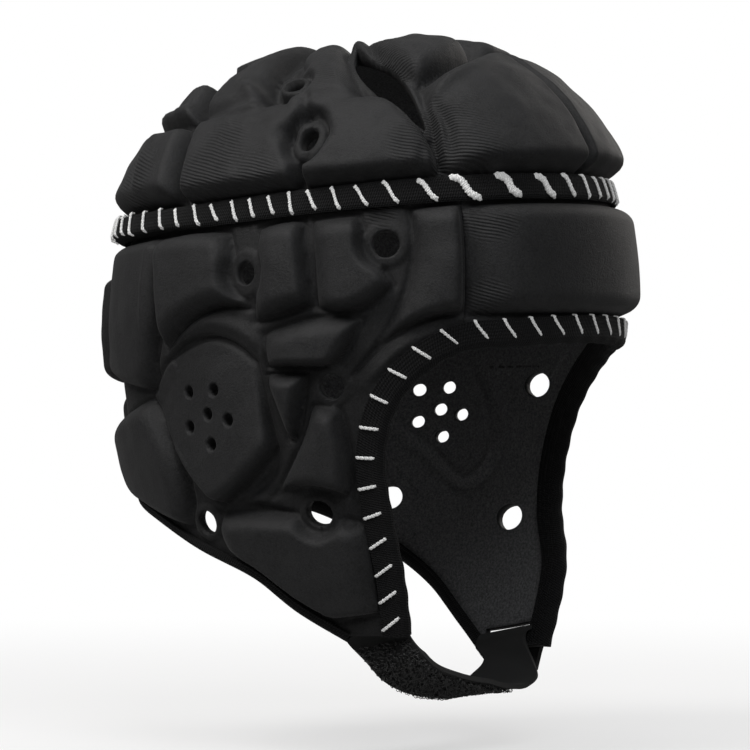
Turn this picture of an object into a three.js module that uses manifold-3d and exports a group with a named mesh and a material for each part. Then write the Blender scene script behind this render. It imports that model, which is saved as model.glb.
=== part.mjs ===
// A padded goalkeeper head guard: laminated panels with raised foam pads round the head, a slit crown,
// a band over the crown seam, bound edges and a chin strap threaded through a slot in the left flap.
// Millimetres, +Z up. The wearer looks along -Y and has their right side at -X.
// The origin is the crown seat, the point inside the crown that rests on the top of the head.

import * as THREE from "three";
import { mergeVertices } from "three/addons/utils/BufferGeometryUtils.js";
import Module from "manifold-3d";

const wasm = await Module();
wasm.setup();

// Head form, the inside of the guard
const HALF_WIDTH = 79;
const FRONT_LENGTH = 97.5;
const BACK_LENGTH = 98;
const CROWN_RISE = 100;
const CROWN_MERIDIAN = 157;
const CROWN_FULLNESS = 0.053;
const GIRTH_FULLNESS = 0.039;
const TILT = 0.09;
const TILT_FROM = -35;
const TILT_TO = 40;
const JAW_DROP = 137;
const JAW = {
  width: { narrowing: 29, power: 1.6 },
  front: { narrowing: 16, power: 2 },
  back: { narrowing: 24, power: 1.6 },
};

// Cloth and foam
const WALL = 3;
const PAD_GAP = 1;
const SEAM_GAP = 0.6;
const SHOULDER = 5.5;
const SHOULDER_SHARE = 0.3;
const EDGE_RISE = 0.34;
const SHOULDER_RISE = 0.86;
const PAD_FACET = 18;
const MERGE_TOLERANCE = 1e-3;

// Panels, by degrees round the head from the brow centre and millimetres up its surface from the widest line
const BROW_JOINT = 41;
const BACK_JOINT = 158;
const CROWN_SEAM = 39.5;
const NAPE_EDGE = -68;
const BROW_EDGE = -9;
const BROW_STATIONS = [30, 15, 0, -15, -30];
const GRIDS = {
  side: { columns: 11, rows: 12 },
  brow: { columns: 12, rows: 5 },
  back: { columns: 5, rows: 9 },
  crown: { columns: 34, rows: 8 },
};
const SEAM_DEGREES = 0.4;
const JOINT_SHARE = 0.34;
const TIP_SHARE = 0.16;

// The face edge runs from the brow joint down to the flap's tip, the jaw edge from the tip to the back joint.
const FACE_EDGE = [
  { around: BROW_JOINT, height: -11.5 },
  { around: 50, height: -18 },
  { around: 57.5, height: -30.5 },
  { around: 61.5, height: -52 },
  { around: 60.5, height: -75 },
  { around: 58.5, height: -97 },
  { around: 57.5, height: -119 },
];
const JAW_EDGE = [
  { around: 76.5, height: -123 },
  { around: 84.5, height: -109.5 },
  { around: 95.5, height: -96.5 },
  { around: 112, height: -86.5 },
  { around: 132, height: -74.5 },
  { around: BACK_JOINT, height: NAPE_EDGE },
];
const LEFT_TIP = { longer: 9, forward: 4 };

// Round vents through each side panel, and the six small ones that also pass through the ear pad. Where a
// vent or a pad of the left side lies elsewhere than the right one's mirror image, its left entry says so.
const CUT_REACH = 5;
const VENT_SIDES = 8;
const EAR_VENT_SIDES = 6;
const VENT_CUT = 40;
const VENTS = [
  { around: 91, height: 16, radius: 4 },
  { around: 58, height: 22, radius: 5 },
  { around: 70.5, height: -26, radius: 4.8 },
  { around: 75.5, height: -73, radius: 5, left: { around: 74.5, height: -79 } },
  { around: 108.5, height: -77.5, radius: 4.8, left: { around: 111, height: -72 } },
];
const EAR_VENT_RADIUS = 2.3;
const LEFT_EAR_SHIFT = -3.5;
const EAR_VENTS = [
  { around: 102, height: -36 },
  { around: 108, height: -28 },
  { around: 100, height: -27 },
  { around: 96, height: -38 },
  { around: 101, height: -47 },
  { around: 108, height: -41 },
].map(({ around, height }) => ({
  around,
  height,
  radius: EAR_VENT_RADIUS,
  sides: EAR_VENT_SIDES,
  left: { around: around + LEFT_EAR_SHIFT },
}));

// Foam pads, each a four-sided patch of the head. Corners are [around, height]. A bow is how far a side
// bulges outwards, top and bottom in millimetres, front and rear in degrees. The rise is the pad's
// thickness at its lower end, and the top rise its thickness at its upper end.
const PAD_COLUMNS = [
  "name", "upperFront", "upperRear", "lowerRear", "lowerFront", "bow", "rise", "topRise", "left",
];
const LEFT_JAW_PAD = { upperFront: [69.5, -86.5], upperRear: [102.5, -75.5] };
const SIDE_PADS = padTable([
  ["temple_pad", [42.5, 33], [52, 32], [66, -22.5], [42.5, -3], { rear: -5.5, bottom: -6 }, 7, 7],
  ["upper_front_pad", [64, 30], [74, 30], [72.5, 3], [58.5, 7], { bottom: 2.5, front: -1.5 }, 7, 7],
  ["upper_middle_pad", [77.5, 29], [87, 29], [88, -1.5], [74.5, 3], { top: 1 }, 7, 7],
  ["upper_rear_pad", [97, 29], [118, 31], [112.5, -9.5], [92, 4], { top: 1.5, bottom: -7.5 }, 7.5, 7.5],
  ["rear_pad", [121.5, 31], [146, 31], [147, -24], [124, -25], { top: 1, rear: 1, front: 4 }, 8, 8],
  ["wing_pad", [64.5, -4], [86.5, -8], [86, -18.5], [70, -19], { top: 2.8, front: 1 }, 7, 7],
  ["dart_pad", [76.5, -22], [86, -22], [82, -44], [79.5, -44], {}, 5, 7],
  ["cheek_pad", [70, -34], [74.5, -34], [85.5, -68], [70, -68], { rear: -1.5, bottom: -4, front: 1.5 }, 7, 7],
  ["ear_pad", [90, -12], [121, -26], [102, -69], [87, -48], { top: 11, rear: 1.5, bottom: 2.5 }, 4, 4],
  [
    "jaw_pad", [69.5, -79.5], [102.5, -74], [77.5, -110.5], [65.5, -108.5], { top: -3.5, rear: 4.5 }, 7.5, 7.5,
    LEFT_JAW_PAD,
  ],
  ["nape_pad", [126, -30], [147, -32], [132, -67], [116, -77], { rear: 5, front: 6 }, 5, 5],
]);
const CROWN_PADS = padTable([
  ["crown_front_lower_pad", [2.5, 106], [43, 79], [44, 46], [2, 46], { top: 1 }, 13.5, 6.5],
  ["crown_front_upper_pad", [14, 144], [63, 129], [44, 84], [4, 110], { rear: -3 }, 8, 4],
  ["crown_side_front_pad", [60.5, 79], [75.5, 80], [74, 47], [46.5, 47], { rear: -4, front: 0 }, 9, 9],
  ["crown_side_rear_pad", [81.5, 80], [116, 80], [109, 47], [79.5, 47], { front: -2 }, 9, 9],
  ["crown_top_front_pad", [82, 141], [103, 139], [84, 84], [65, 84], { rear: -4, front: -2 }, 8, 3.5],
  ["crown_top_rear_pad", [116, 141], [148, 138], [119, 84], [93, 84], { front: -4 }, 8, 3.5],
  ["crown_rear_lower_pad", [122, 73], [177, 73], [178, 46], [114, 46], {}, 10, 10],
  ["crown_rear_upper_pad", [150, 128], [174, 130], [177, 77.5], [126, 77.5], {}, 12.5, 4],
]);
const MIDDLE_PADS = padTable([
  ["brow_pad", [-38, 31.5], [38, 31.5], [38, -2.5], [-38, -2.5], { top: 1, rear: 0.5, front: 0.5 }, 6.5, 6.5],
  ["back_upper_pad", [161, 31], [199, 31], [199, -23], [161, -23], { top: 1 }, 8.5, 8.5],
  ["back_lower_pad", [161, -28], [199, -28], [199, -60], [161, -60], {}, 5.5, 5.5],
]);

// Eye-shaped slits through the crown, from their lower to their upper end
const SLIT_STEPS = 6;
const SLIT_PROBE = 0.5;
const CROWN_SLITS = [
  { from: [46.5, 60.5], to: [68.5, 121], bend: -1, halfWidth: 6 },
  { from: [-46.5, 60.5], to: [-68.5, 121], bend: 1, halfWidth: 6 },
  { from: [0, 56], to: [0, 104], bend: 0, halfWidth: 2.2 },
];

// Round vents through the crown, in the groove between the side pads
const CROWN_VENTS = [
  { around: 76.5, height: 62.5, radius: 4.2 },
  { around: 87.5, height: 91.5, radius: 3.6 },
];

// Tapes: the band over the crown seam, and the folded bindings of the face and jaw edges
const BAND = { width: 10.5, thickness: 1.6, lift: WALL + 0.7, rearLift: 4.5, rearFrom: 95, rearTo: 140 };
const BINDING_GAP = 0.75;
const BINDING_PROBE = 0.004;
const FACE_BINDING = { outerLeg: 5, innerLeg: 3, thickness: 1.4, steps: 33 };
const JAW_BINDING = { outerLeg: 3, innerLeg: 3, thickness: 1.4, steps: 32 };

// The chin strap, the slot that takes it, and how it passes from inside the left flap out through that slot
const STRAP = { width: 25, thickness: 1.9, around: 66, lift: -5 };
const STRAP_END_HEIGHTS = [-104, -110, -116, -122];
const STRAP_MIDDLE_Y = -42.5;
const STRAP_SLANT = { around: 4, height: 1.1 };
const SLOT = { from: [55.5, -120.5], to: [75.5, -126], halfHeight: 2.4, steps: 3, strapDrop: 0.9 };
const SLOT_PASS = [
  { drop: 6, lift: STRAP.lift },
  { drop: 2, lift: STRAP.lift },
  { drop: 0, lift: -1 },
  { drop: 0, lift: WALL + 0.5 },
  { drop: 2.5, lift: WALL + 2.6 },
  { drop: 9, lift: WALL + 2.6 },
  { drop: 15, lift: WALL + 2.6 },
];

// The strap's sag under the chin, from right to left: tilt is how much higher its front edge runs.
const STRAP_SAG = [
  { x: -46, rise: -229, tilt: 4 },
  { x: -37, rise: -234.5, tilt: 3.2 },
  { x: -20, rise: -240.3, tilt: 2 },
  { x: 0, rise: -244.5, tilt: 1 },
  { x: 16, rise: -245.5, tilt: 0 },
  { x: 29, rise: -241.5, tilt: 1 },
  { x: 37, rise: -236.5, tilt: 2 },
];

// The looped pile on the strap, over the stations of the strap that it covers
const PILE = { thickness: 1.3, gap: 0.6, margin: 1, from: 4, to: 8 };

const MATERIALS = {
  shell: cloth(0x17181a, 0.9),
  pad: cloth(0x242527, 0.78),
  tape: cloth(0x111112, 0.95),
  strap: cloth(0x131314, 0.95),
  pile: cloth(0x1b1b1c, 1),
};

// A vent or pad as it lies on one side: the right is positive, and the left may have values of its own.
function onSide(item, side) {
  return side < 0 ? { ...item, ...item.left } : item;
}

function padTable(rows) {
  return rows.map((row) => Object.fromEntries(row.map((value, i) => [PAD_COLUMNS[i], value])));
}

function cloth(color, roughness) {
  return new THREE.MeshStandardMaterial({ color, roughness, metalness: 0 });
}

// The head form and its chart

function smoothRamp(value, from, to) {
  return THREE.MathUtils.smoothstep(value, from, to);
}

function headPoint(around, height) {
  const turn = THREE.MathUtils.degToRad(around);
  const climb = (Math.min(Math.max(height, 0), CROWN_MERIDIAN) / CROWN_MERIDIAN) * (Math.PI / 2);
  const fullness = 1 + CROWN_FULLNESS * Math.sin(2 * climb) ** 2;
  const girth = 1 + GIRTH_FULLNESS * Math.sin(2 * turn) ** 2;
  const drop = Math.max(-height, 0) / JAW_DROP;
  const reach = (size, { narrowing, power }) =>
    (size * fullness * Math.cos(climb) - narrowing * drop ** power) * girth;
  const lengthways = Math.cos(turn) > 0 ? reach(FRONT_LENGTH, JAW.front) : reach(BACK_LENGTH, JAW.back);
  const x = -reach(HALF_WIDTH, JAW.width) * Math.sin(turn);
  const y = -lengthways * Math.cos(turn);
  const level = CROWN_RISE * (fullness * Math.sin(climb) - 1) + Math.min(height, 0);
  return new THREE.Vector3(x, y, level - TILT * y * smoothRamp(height, TILT_FROM, TILT_TO));
}

function headNormal(around, height) {
  const step = 0.05;
  const level = Math.min(height, CROWN_MERIDIAN - 1);
  const along = headPoint(around + step, level).sub(headPoint(around - step, level));
  const upwards = headPoint(around, level + step).sub(headPoint(around, level - step));
  return upwards.cross(along).normalize();
}

function onHead(around, height, lift) {
  return headPoint(around, height).addScaledVector(headNormal(around, height), lift);
}

// Four-sided patches of the chart

function bowed(from, to, bowAround, bowHeight) {
  return (t) => {
    const bow = 4 * t * (1 - t);
    return [
      THREE.MathUtils.lerp(from[0], to[0], t) + bow * bowAround,
      THREE.MathUtils.lerp(from[1], to[1], t) + bow * bowHeight,
    ];
  };
}

function smoothEdge(points) {
  const curve = new THREE.CatmullRomCurve3(
    points.map(({ around, height }) => new THREE.Vector3(around, height, 0)),
    false,
    "centripetal",
  );
  return (t) => {
    const { x, y } = curve.getPoint(t);
    return [x, y];
  };
}

// Joins two edges end to end, the first taking the given share of the whole.
function joinEdges(first, second, share) {
  return (t) => (t < share ? first(t / share) : second((t - share) / (1 - share)));
}

// Fills in a patch between its sides: across runs from front to rear, and down from top to bottom.
function fourSided({ top, bottom, front, rear }) {
  const corners = { topFront: top(0), topRear: top(1), bottomFront: bottom(0), bottomRear: bottom(1) };
  return (across, down) =>
    [0, 1].map((axis) => {
      const sides =
        (1 - down) * top(across)[axis] +
        down * bottom(across)[axis] +
        (1 - across) * front(down)[axis] +
        across * rear(down)[axis];
      const bilinear =
        (1 - down) * ((1 - across) * corners.topFront[axis] + across * corners.topRear[axis]) +
        down * ((1 - across) * corners.bottomFront[axis] + across * corners.bottomRear[axis]);
      return sides - bilinear;
    });
}

function padPatch({ upperFront, upperRear, lowerRear, lowerFront, bow }) {
  const { top = 0, rear = 0, bottom = 0, front = 0 } = bow;
  return fourSided({
    top: bowed(upperFront, upperRear, 0, top),
    bottom: bowed(lowerFront, lowerRear, 0, -bottom),
    front: bowed(upperFront, lowerFront, -front, 0),
    rear: bowed(upperRear, lowerRear, rear, 0),
  });
}

// Solids

function evenly(count) {
  return Array.from({ length: count + 1 }, (_, i) => i / count);
}

// A closed geometry that faces out, from points and triangles that may share places.
function closedGeometry(points, triangles) {
  const loose = new THREE.BufferGeometry();
  loose.setAttribute("position", new THREE.Float32BufferAttribute(points.flatMap((p) => p.toArray()), 3));
  loose.setIndex(triangles.flat());
  const merged = mergeVertices(loose, MERGE_TOLERANCE);
  const position = merged.getAttribute("position");
  const corner = (i) => new THREE.Vector3().fromBufferAttribute(position, i);
  const faces = [];
  let volume = 0;
  for (let i = 0; i < merged.index.count; i += 3) {
    const [a, b, c] = [0, 1, 2].map((k) => merged.index.getX(i + k));
    if (a !== b && b !== c && c !== a) {
      faces.push([a, b, c]);
      volume += corner(a).dot(corner(b).cross(corner(c)));
    }
  }
  merged.setIndex((volume < 0 ? faces.map(([a, b, c]) => [a, c, b]) : faces).flat());
  return merged;
}

// A wall between two sheets of points on the same grid. A wrapped wall closes on itself round the head.
function wallGeometry(outer, inner, { wrapped = false } = {}) {
  const rows = outer.length;
  const columns = outer[0].length;
  const points = [...outer.flat(), ...inner.flat()];
  const sheet = rows * columns;
  const triangles = [];
  const quad = (a, b, c, d) => triangles.push([a, b, c], [a, c, d]);
  const at = (row, column) => row * columns + (column % columns);
  const spans = wrapped ? columns : columns - 1;
  for (let row = 0; row < rows - 1; row += 1) {
    for (let column = 0; column < spans; column += 1) {
      const ring = [at(row, column), at(row, column + 1), at(row + 1, column + 1), at(row + 1, column)];
      quad(...ring);
      quad(...ring.map((i) => i + sheet).reverse());
    }
  }
  const rim = (a, b) => quad(b, a, a + sheet, b + sheet);
  for (let column = 0; column < spans; column += 1) {
    rim(at(0, column), at(0, column + 1));
    rim(at(rows - 1, column + 1), at(rows - 1, column));
  }
  for (let row = 0; row < rows - 1 && !wrapped; row += 1) {
    rim(at(row + 1, 0), at(row, 0));
    rim(at(row, columns - 1), at(row + 1, columns - 1));
  }
  return closedGeometry(points, triangles);
}

// A patch of the head as a wall. The lifts may be numbers or functions of the place in the patch.
function patchWall(patch, across, down, outerLift, innerLift, side = 1) {
  const liftOf = (lift, i, j) => (typeof lift === "function" ? lift(i, j) : lift);
  const sheet = (lift) =>
    down.map((t, j) =>
      across.map((s, i) => {
        const [around, height] = patch(s, t);
        return onHead(side * around, height, liftOf(lift, i, j));
      }),
    );
  return wallGeometry(sheet(outerLift), sheet(innerLift));
}

function panelWall(patch, { columns, rows }, side = 1) {
  return patchWall(patch, evenly(columns), evenly(rows), WALL, 0, side);
}

// Grid stations across a pad: its edge, its rounded shoulder and its flat middle.
function padStations(length) {
  const shoulder = Math.min(SHOULDER_SHARE, SHOULDER / length);
  const middles = Math.max(1, Math.round(length / PAD_FACET) - 1);
  const inside = evenly(middles + 1)
    .slice(1, -1)
    .map((t) => ({ at: THREE.MathUtils.lerp(shoulder, 1 - shoulder, t), rise: 1 }));
  const start = [{ at: 0, rise: EDGE_RISE }, { at: shoulder, rise: SHOULDER_RISE }];
  const end = start.map(({ at, rise }) => ({ at: 1 - at, rise })).reverse();
  return [...start, ...inside, ...end];
}

function padGeometry(pad, side = 1) {
  const patch = padPatch(onSide(pad, side));
  const place = (s, t) => onHead(...patch(s, t), WALL);
  const across = padStations(place(0, 0.5).distanceTo(place(1, 0.5)));
  const down = padStations(place(0.5, 0).distanceTo(place(0.5, 1)));
  const foot = WALL + PAD_GAP;
  const rise = (t) => THREE.MathUtils.lerp(pad.topRise, pad.rise, t);
  return patchWall(
    patch,
    across.map(({ at }) => at),
    down.map(({ at }) => at),
    (i, j) => foot + rise(down[j].at) * Math.min(across[i].rise, down[j].rise),
    foot,
    side,
  );
}

// Booleans

function toSolid(geometry) {
  const bare = geometry.clone();
  bare.deleteAttribute("normal");
  bare.deleteAttribute("uv");
  const merged = mergeVertices(bare, MERGE_TOLERANCE);
  return new wasm.Manifold(
    new wasm.Mesh({
      numProp: 3,
      vertProperties: new Float32Array(merged.getAttribute("position").array),
      triVerts: new Uint32Array(merged.index.array),
    }),
  );
}

function fromSolid(solid) {
  const mesh = solid.getMesh();
  const geometry = new THREE.BufferGeometry();
  geometry.setAttribute("position", new THREE.BufferAttribute(new Float32Array(mesh.vertProperties), 3));
  geometry.setIndex(new THREE.BufferAttribute(new Uint32Array(mesh.triVerts), 1));
  return geometry;
}

function cut(geometry, cutters) {
  return fromSolid(cutters.reduce((solid, cutter) => solid.subtract(toSolid(cutter)), toSolid(geometry)));
}

function ventCutter(vent, side = 1) {
  const { around, height, radius, sides = VENT_SIDES } = onSide(vent, side);
  const geometry = new THREE.CylinderGeometry(radius, radius, VENT_CUT, sides);
  const normal = headNormal(side * around, height);
  geometry.applyQuaternion(new THREE.Quaternion().setFromUnitVectors(new THREE.Vector3(0, 1, 0), normal));
  const centre = headPoint(side * around, height);
  return geometry.translate(centre.x, centre.y, centre.z);
}

// A lens-shaped cutter through the crown wall, along a slit of the chart.
function slitCutter({ from, to, bend, halfWidth }) {
  const centre = bowed(from, to, bend, 0);
  const sheet = (lift) =>
    evenly(SLIT_STEPS).map((t) => {
      const [around, height] = centre(t);
      const [front, rear] = [-SLIT_PROBE, SLIT_PROBE].map((step) => headPoint(around + step, height));
      const across = rear.sub(front).normalize();
      const half = halfWidth * Math.sin(Math.PI * t);
      return [-half, half].map((offset) => onHead(around, height, lift).addScaledVector(across, offset));
    });
  return wallGeometry(sheet(WALL + CUT_REACH), sheet(-CUT_REACH));
}

// Panels

// The left flap's tip reaches further down and forward than the right one's, past the strap's slot.
function sidePatch(side) {
  const reach = side < 0 ? LEFT_TIP : { longer: 0, forward: 0 };
  const forward = ({ around, height }) => ({ around: around - reach.forward, height });
  const lowered = ({ around, height }) => ({ around, height: height - reach.longer });
  const faceEdge = [...FACE_EDGE.slice(0, -2), ...FACE_EDGE.slice(-2).map(forward)];
  faceEdge.push(lowered(faceEdge.pop()));
  const jawEdge = [lowered(JAW_EDGE[0]), ...JAW_EDGE.slice(1)];
  const pair = ({ around, height }) => [around, height];
  const joint = bowed([BROW_JOINT, CROWN_SEAM], pair(faceEdge[0]), 0, 0);
  const tip = bowed(pair(faceEdge.at(-1)), pair(jawEdge[0]), 0, 0);
  return {
    faceEdge,
    jawEdge,
    patch: fourSided({
      top: bowed([BROW_JOINT, CROWN_SEAM], [BACK_JOINT, CROWN_SEAM], 0, 0),
      rear: bowed([BACK_JOINT, CROWN_SEAM], [BACK_JOINT, NAPE_EDGE], 0, 0),
      front: joinEdges(joint, smoothEdge(faceEdge), JOINT_SHARE),
      bottom: joinEdges(tip, smoothEdge(jawEdge), TIP_SHARE),
    }),
  };
}

function strapSlot() {
  const middle = bowed(SLOT.from, SLOT.to, 0, 0);
  const sheet = (lift) =>
    [SLOT.halfHeight, -SLOT.halfHeight].map((rise) =>
      evenly(SLOT.steps).map((t) => {
        const [around, height] = middle(t);
        return onHead(-around, height + rise, lift);
      }),
    );
  return wallGeometry(sheet(WALL + CUT_REACH), sheet(-CUT_REACH));
}

function sidePanel(side) {
  const wall = panelWall(sidePatch(side).patch, GRIDS.side, side);
  const vents = [...VENTS, ...EAR_VENTS].map((vent) => ventCutter(vent, side));
  return cut(wall, side < 0 ? [...vents, strapSlot()] : vents);
}

function earPad(pad, side) {
  return cut(padGeometry(pad, side), EAR_VENTS.map((vent) => ventCutter(vent, side)));
}

function browPanel() {
  const end = BROW_JOINT - SEAM_DEGREES;
  const lower = (t) => {
    const around = THREE.MathUtils.lerp(-end, end, t);
    return [around, lowerBrowEdge(around)];
  };
  const patch = fourSided({
    top: bowed([-end, CROWN_SEAM], [end, CROWN_SEAM], 0, 0),
    bottom: lower,
    front: bowed([-end, CROWN_SEAM], lower(0), 0, 0),
    rear: bowed([end, CROWN_SEAM], lower(1), 0, 0),
  });
  return panelWall(patch, GRIDS.brow);
}

// The brow's lower edge dips from its middle to the joints with the side panels.
function lowerBrowEdge(around) {
  return THREE.MathUtils.lerp(BROW_EDGE, FACE_EDGE[0].height, (around / BROW_JOINT) ** 2);
}

function backPanel() {
  const [from, to] = [BACK_JOINT + SEAM_DEGREES, 360 - BACK_JOINT - SEAM_DEGREES];
  const patch = fourSided({
    top: bowed([from, CROWN_SEAM], [to, CROWN_SEAM], 0, 0),
    bottom: bowed([from, NAPE_EDGE], [to, NAPE_EDGE], 0, 0),
    front: bowed([from, CROWN_SEAM], [from, NAPE_EDGE], 0, 0),
    rear: bowed([to, CROWN_SEAM], [to, NAPE_EDGE], 0, 0),
  });
  return panelWall(patch, GRIDS.back);
}

function crownShell() {
  const start = CROWN_SEAM + SEAM_GAP;
  const heights = evenly(GRIDS.crown.rows).map((t) => THREE.MathUtils.lerp(start, CROWN_MERIDIAN, t));
  const arounds = evenly(GRIDS.crown.columns).slice(0, -1).map((t) => 360 * t);
  const apex = CROWN_MERIDIAN;
  const sheet = (lift) =>
    heights.map((height) =>
      arounds.map((around) =>
        height === apex ? new THREE.Vector3(0, 0, lift) : onHead(around, height, lift),
      ),
    );
  const shell = wallGeometry(sheet(WALL), sheet(0), { wrapped: true });
  const vents = [1, -1].flatMap((side) => CROWN_VENTS.map((vent) => ventCutter(vent, side)));
  return cut(shell, [...CROWN_SLITS.map(slitCutter), ...vents]);
}

// Tapes

// At the back of the head the band rides up over the thick pads beside it.
function bandLift(around) {
  const fromBrow = Math.abs(THREE.MathUtils.euclideanModulo(around + 180, 360) - 180);
  return BAND.lift + BAND.rearLift * smoothRamp(fromBrow, BAND.rearFrom, BAND.rearTo);
}

function crownBand() {
  const arounds = evenly(GRIDS.crown.columns).slice(0, -1).map((t) => 360 * t);
  const heights = [CROWN_SEAM - BAND.width / 2, CROWN_SEAM + BAND.width / 2];
  const sheet = (extra) =>
    heights.map((height) => arounds.map((around) => onHead(around, height, bandLift(around) + extra)));
  return wallGeometry(sheet(BAND.thickness), sheet(0), { wrapped: true });
}

// A tape folded over a panel's edge: a channel section swept along the edge.
function foldedBinding(edge, { outerLeg, innerLeg, thickness, steps }) {
  const near = BINDING_GAP;
  const far = BINDING_GAP + thickness;
  const section = [
    { out: -outerLeg, lift: WALL + near },
    { out: -outerLeg, lift: WALL + far },
    { out: far, lift: WALL + far },
    { out: far, lift: -far },
    { out: -innerLeg, lift: -far },
    { out: -innerLeg, lift: -near },
    { out: near, lift: -near },
    { out: near, lift: WALL + near },
  ];
  const rings = evenly(steps).map((t) => {
    const [around, height] = edge(t);
    const before = edge(Math.max(t - BINDING_PROBE, 0));
    const after = edge(Math.min(t + BINDING_PROBE, 1));
    const along = headPoint(...after).sub(headPoint(...before)).normalize();
    const normal = headNormal(around, height);
    const out = new THREE.Vector3().crossVectors(along, normal).normalize();
    return section.map((place) =>
      headPoint(around, height).addScaledVector(out, place.out).addScaledVector(normal, place.lift),
    );
  });
  return sweptGeometry(rings);
}

// Rings of the same section joined in order, with flat ends.
function sweptGeometry(rings) {
  const count = rings[0].length;
  const triangles = [];
  rings.slice(1).forEach((_, ring) => {
    for (let i = 0; i < count; i += 1) {
      const next = (i + 1) % count;
      const [a, b] = [ring * count + i, ring * count + next];
      triangles.push([a, b, b + count], [a, b + count, a + count]);
    }
  });
  const flat = THREE.ShapeUtils.triangulateShape(sectionOutline(rings[0]), []);
  const last = (rings.length - 1) * count;
  flat.forEach(([a, b, c]) => triangles.push([a, c, b], [a + last, b + last, c + last]));
  return closedGeometry(rings.flat(), triangles);
}

// A ring's points in its own plane, in the same turning sense as the sweep.
function sectionOutline(ring) {
  const origin = ring[0];
  const u = ring[1].clone().sub(origin).normalize();
  const w = new THREE.Vector3();
  ring.forEach((p, i) => w.add(p.clone().sub(origin).cross(ring[(i + 1) % ring.length].clone().sub(origin))));
  const v = w.normalize().clone().cross(u);
  return ring.map((p) => new THREE.Vector2(p.clone().sub(origin).dot(u), p.clone().sub(origin).dot(v)));
}

// The face edge from the right flap's tip over the brow to the left flap's tip.
function faceEdgePath() {
  const brow = BROW_STATIONS.map((around) => ({ around, height: lowerBrowEdge(around) }));
  const left = sidePatch(-1).faceEdge.map(({ around, height }) => ({ around: -around, height }));
  return smoothEdge([...sidePatch(1).faceEdge.toReversed(), ...brow, ...left]);
}

// The jaw edge from the left flap's tip round the nape to the right flap's tip.
function jawEdgePath() {
  const left = sidePatch(-1).jawEdge.map(({ around, height }) => ({ around: 360 - around, height }));
  return smoothEdge([...left, { around: 180, height: NAPE_EDGE }, ...sidePatch(1).jawEdge.toReversed()]);
}

// Chin strap

// The strap's middle line and width, from inside the right flap, under the chin and out of the left slot.
function strapStations() {
  const onFlap = (side, height, lift) => {
    const beside = (way) =>
      onHead(side * (STRAP.around + way * STRAP_SLANT.around), height - way * STRAP_SLANT.height, lift);
    const across = beside(1).sub(beside(-1)).normalize();
    return { centre: onHead(side * STRAP.around, height, lift), across };
  };
  const hanging = ({ x, rise, tilt }) => ({
    centre: new THREE.Vector3(x, STRAP_MIDDLE_Y, rise),
    across: new THREE.Vector3(0, STRAP.width, -tilt).normalize(),
  });
  const slotHeight = (SLOT.from[1] + SLOT.to[1]) / 2 - SLOT.strapDrop;
  return [
    ...STRAP_END_HEIGHTS.map((height) => onFlap(1, height, STRAP.lift)),
    ...STRAP_SAG.map(hanging),
    ...SLOT_PASS.map(({ drop, lift }) => onFlap(-1, slotHeight - drop, lift)),
  ];
}

function strapRings(width, low, high) {
  const stations = strapStations();
  return stations.map(({ centre, across }, i) => {
    const before = stations[Math.max(i - 1, 0)].centre;
    const after = stations[Math.min(i + 1, stations.length - 1)].centre;
    const along = after.clone().sub(before).normalize();
    const face = new THREE.Vector3().crossVectors(across, along).normalize();
    return [
      [-width / 2, low],
      [width / 2, low],
      [width / 2, high],
      [-width / 2, high],
    ].map(([w, h]) => centre.clone().addScaledVector(across, w).addScaledVector(face, h));
  });
}

function chinStrap() {
  return sweptGeometry(strapRings(STRAP.width, -STRAP.thickness / 2, STRAP.thickness / 2));
}

// The looped pile that the strap's hooks grip, on its outer face beside the right flap.
function strapPile() {
  const low = STRAP.thickness / 2 + PILE.gap;
  const rings = strapRings(STRAP.width - 2 * PILE.margin, low, low + PILE.thickness);
  return sweptGeometry(rings.slice(PILE.from, PILE.to));
}

// Assembly

const headGuard = new THREE.Group();

function addPiece(name, geometry, material) {
  const mesh = new THREE.Mesh(geometry, material);
  mesh.name = name;
  headGuard.add(mesh);
}

addPiece("crown_shell", crownShell(), MATERIALS.shell);
addPiece("brow_panel", browPanel(), MATERIALS.shell);
addPiece("back_panel", backPanel(), MATERIALS.shell);
for (const pad of MIDDLE_PADS) {
  addPiece(pad.name, padGeometry(pad), MATERIALS.pad);
}

for (const [word, side] of [["right", 1], ["left", -1]]) {
  addPiece(`${word}_side_panel`, sidePanel(side), MATERIALS.shell);
  for (const pad of SIDE_PADS) {
    const geometry = pad.name === "ear_pad" ? earPad(pad, side) : padGeometry(pad, side);
    addPiece(`${word}_${pad.name}`, geometry, MATERIALS.pad);
  }
  for (const pad of CROWN_PADS) {
    addPiece(`${word}_${pad.name}`, padGeometry(pad, side), MATERIALS.pad);
  }
}

addPiece("crown_band", crownBand(), MATERIALS.tape);
addPiece("face_binding", foldedBinding(faceEdgePath(), FACE_BINDING), MATERIALS.tape);
addPiece("jaw_binding", foldedBinding(jawEdgePath(), JAW_BINDING), MATERIALS.tape);
addPiece("chin_strap", chinStrap(), MATERIALS.strap);
addPiece("strap_pile", strapPile(), MATERIALS.pile);

export default headGuard;
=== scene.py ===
"""A padded goalkeeper head guard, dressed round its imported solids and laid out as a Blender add-on."""

import math
import random
from collections import namedtuple

import bpy
import numpy as np
from bpy.props import FloatProperty, FloatVectorProperty, PointerProperty
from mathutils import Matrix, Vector, noise


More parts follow.
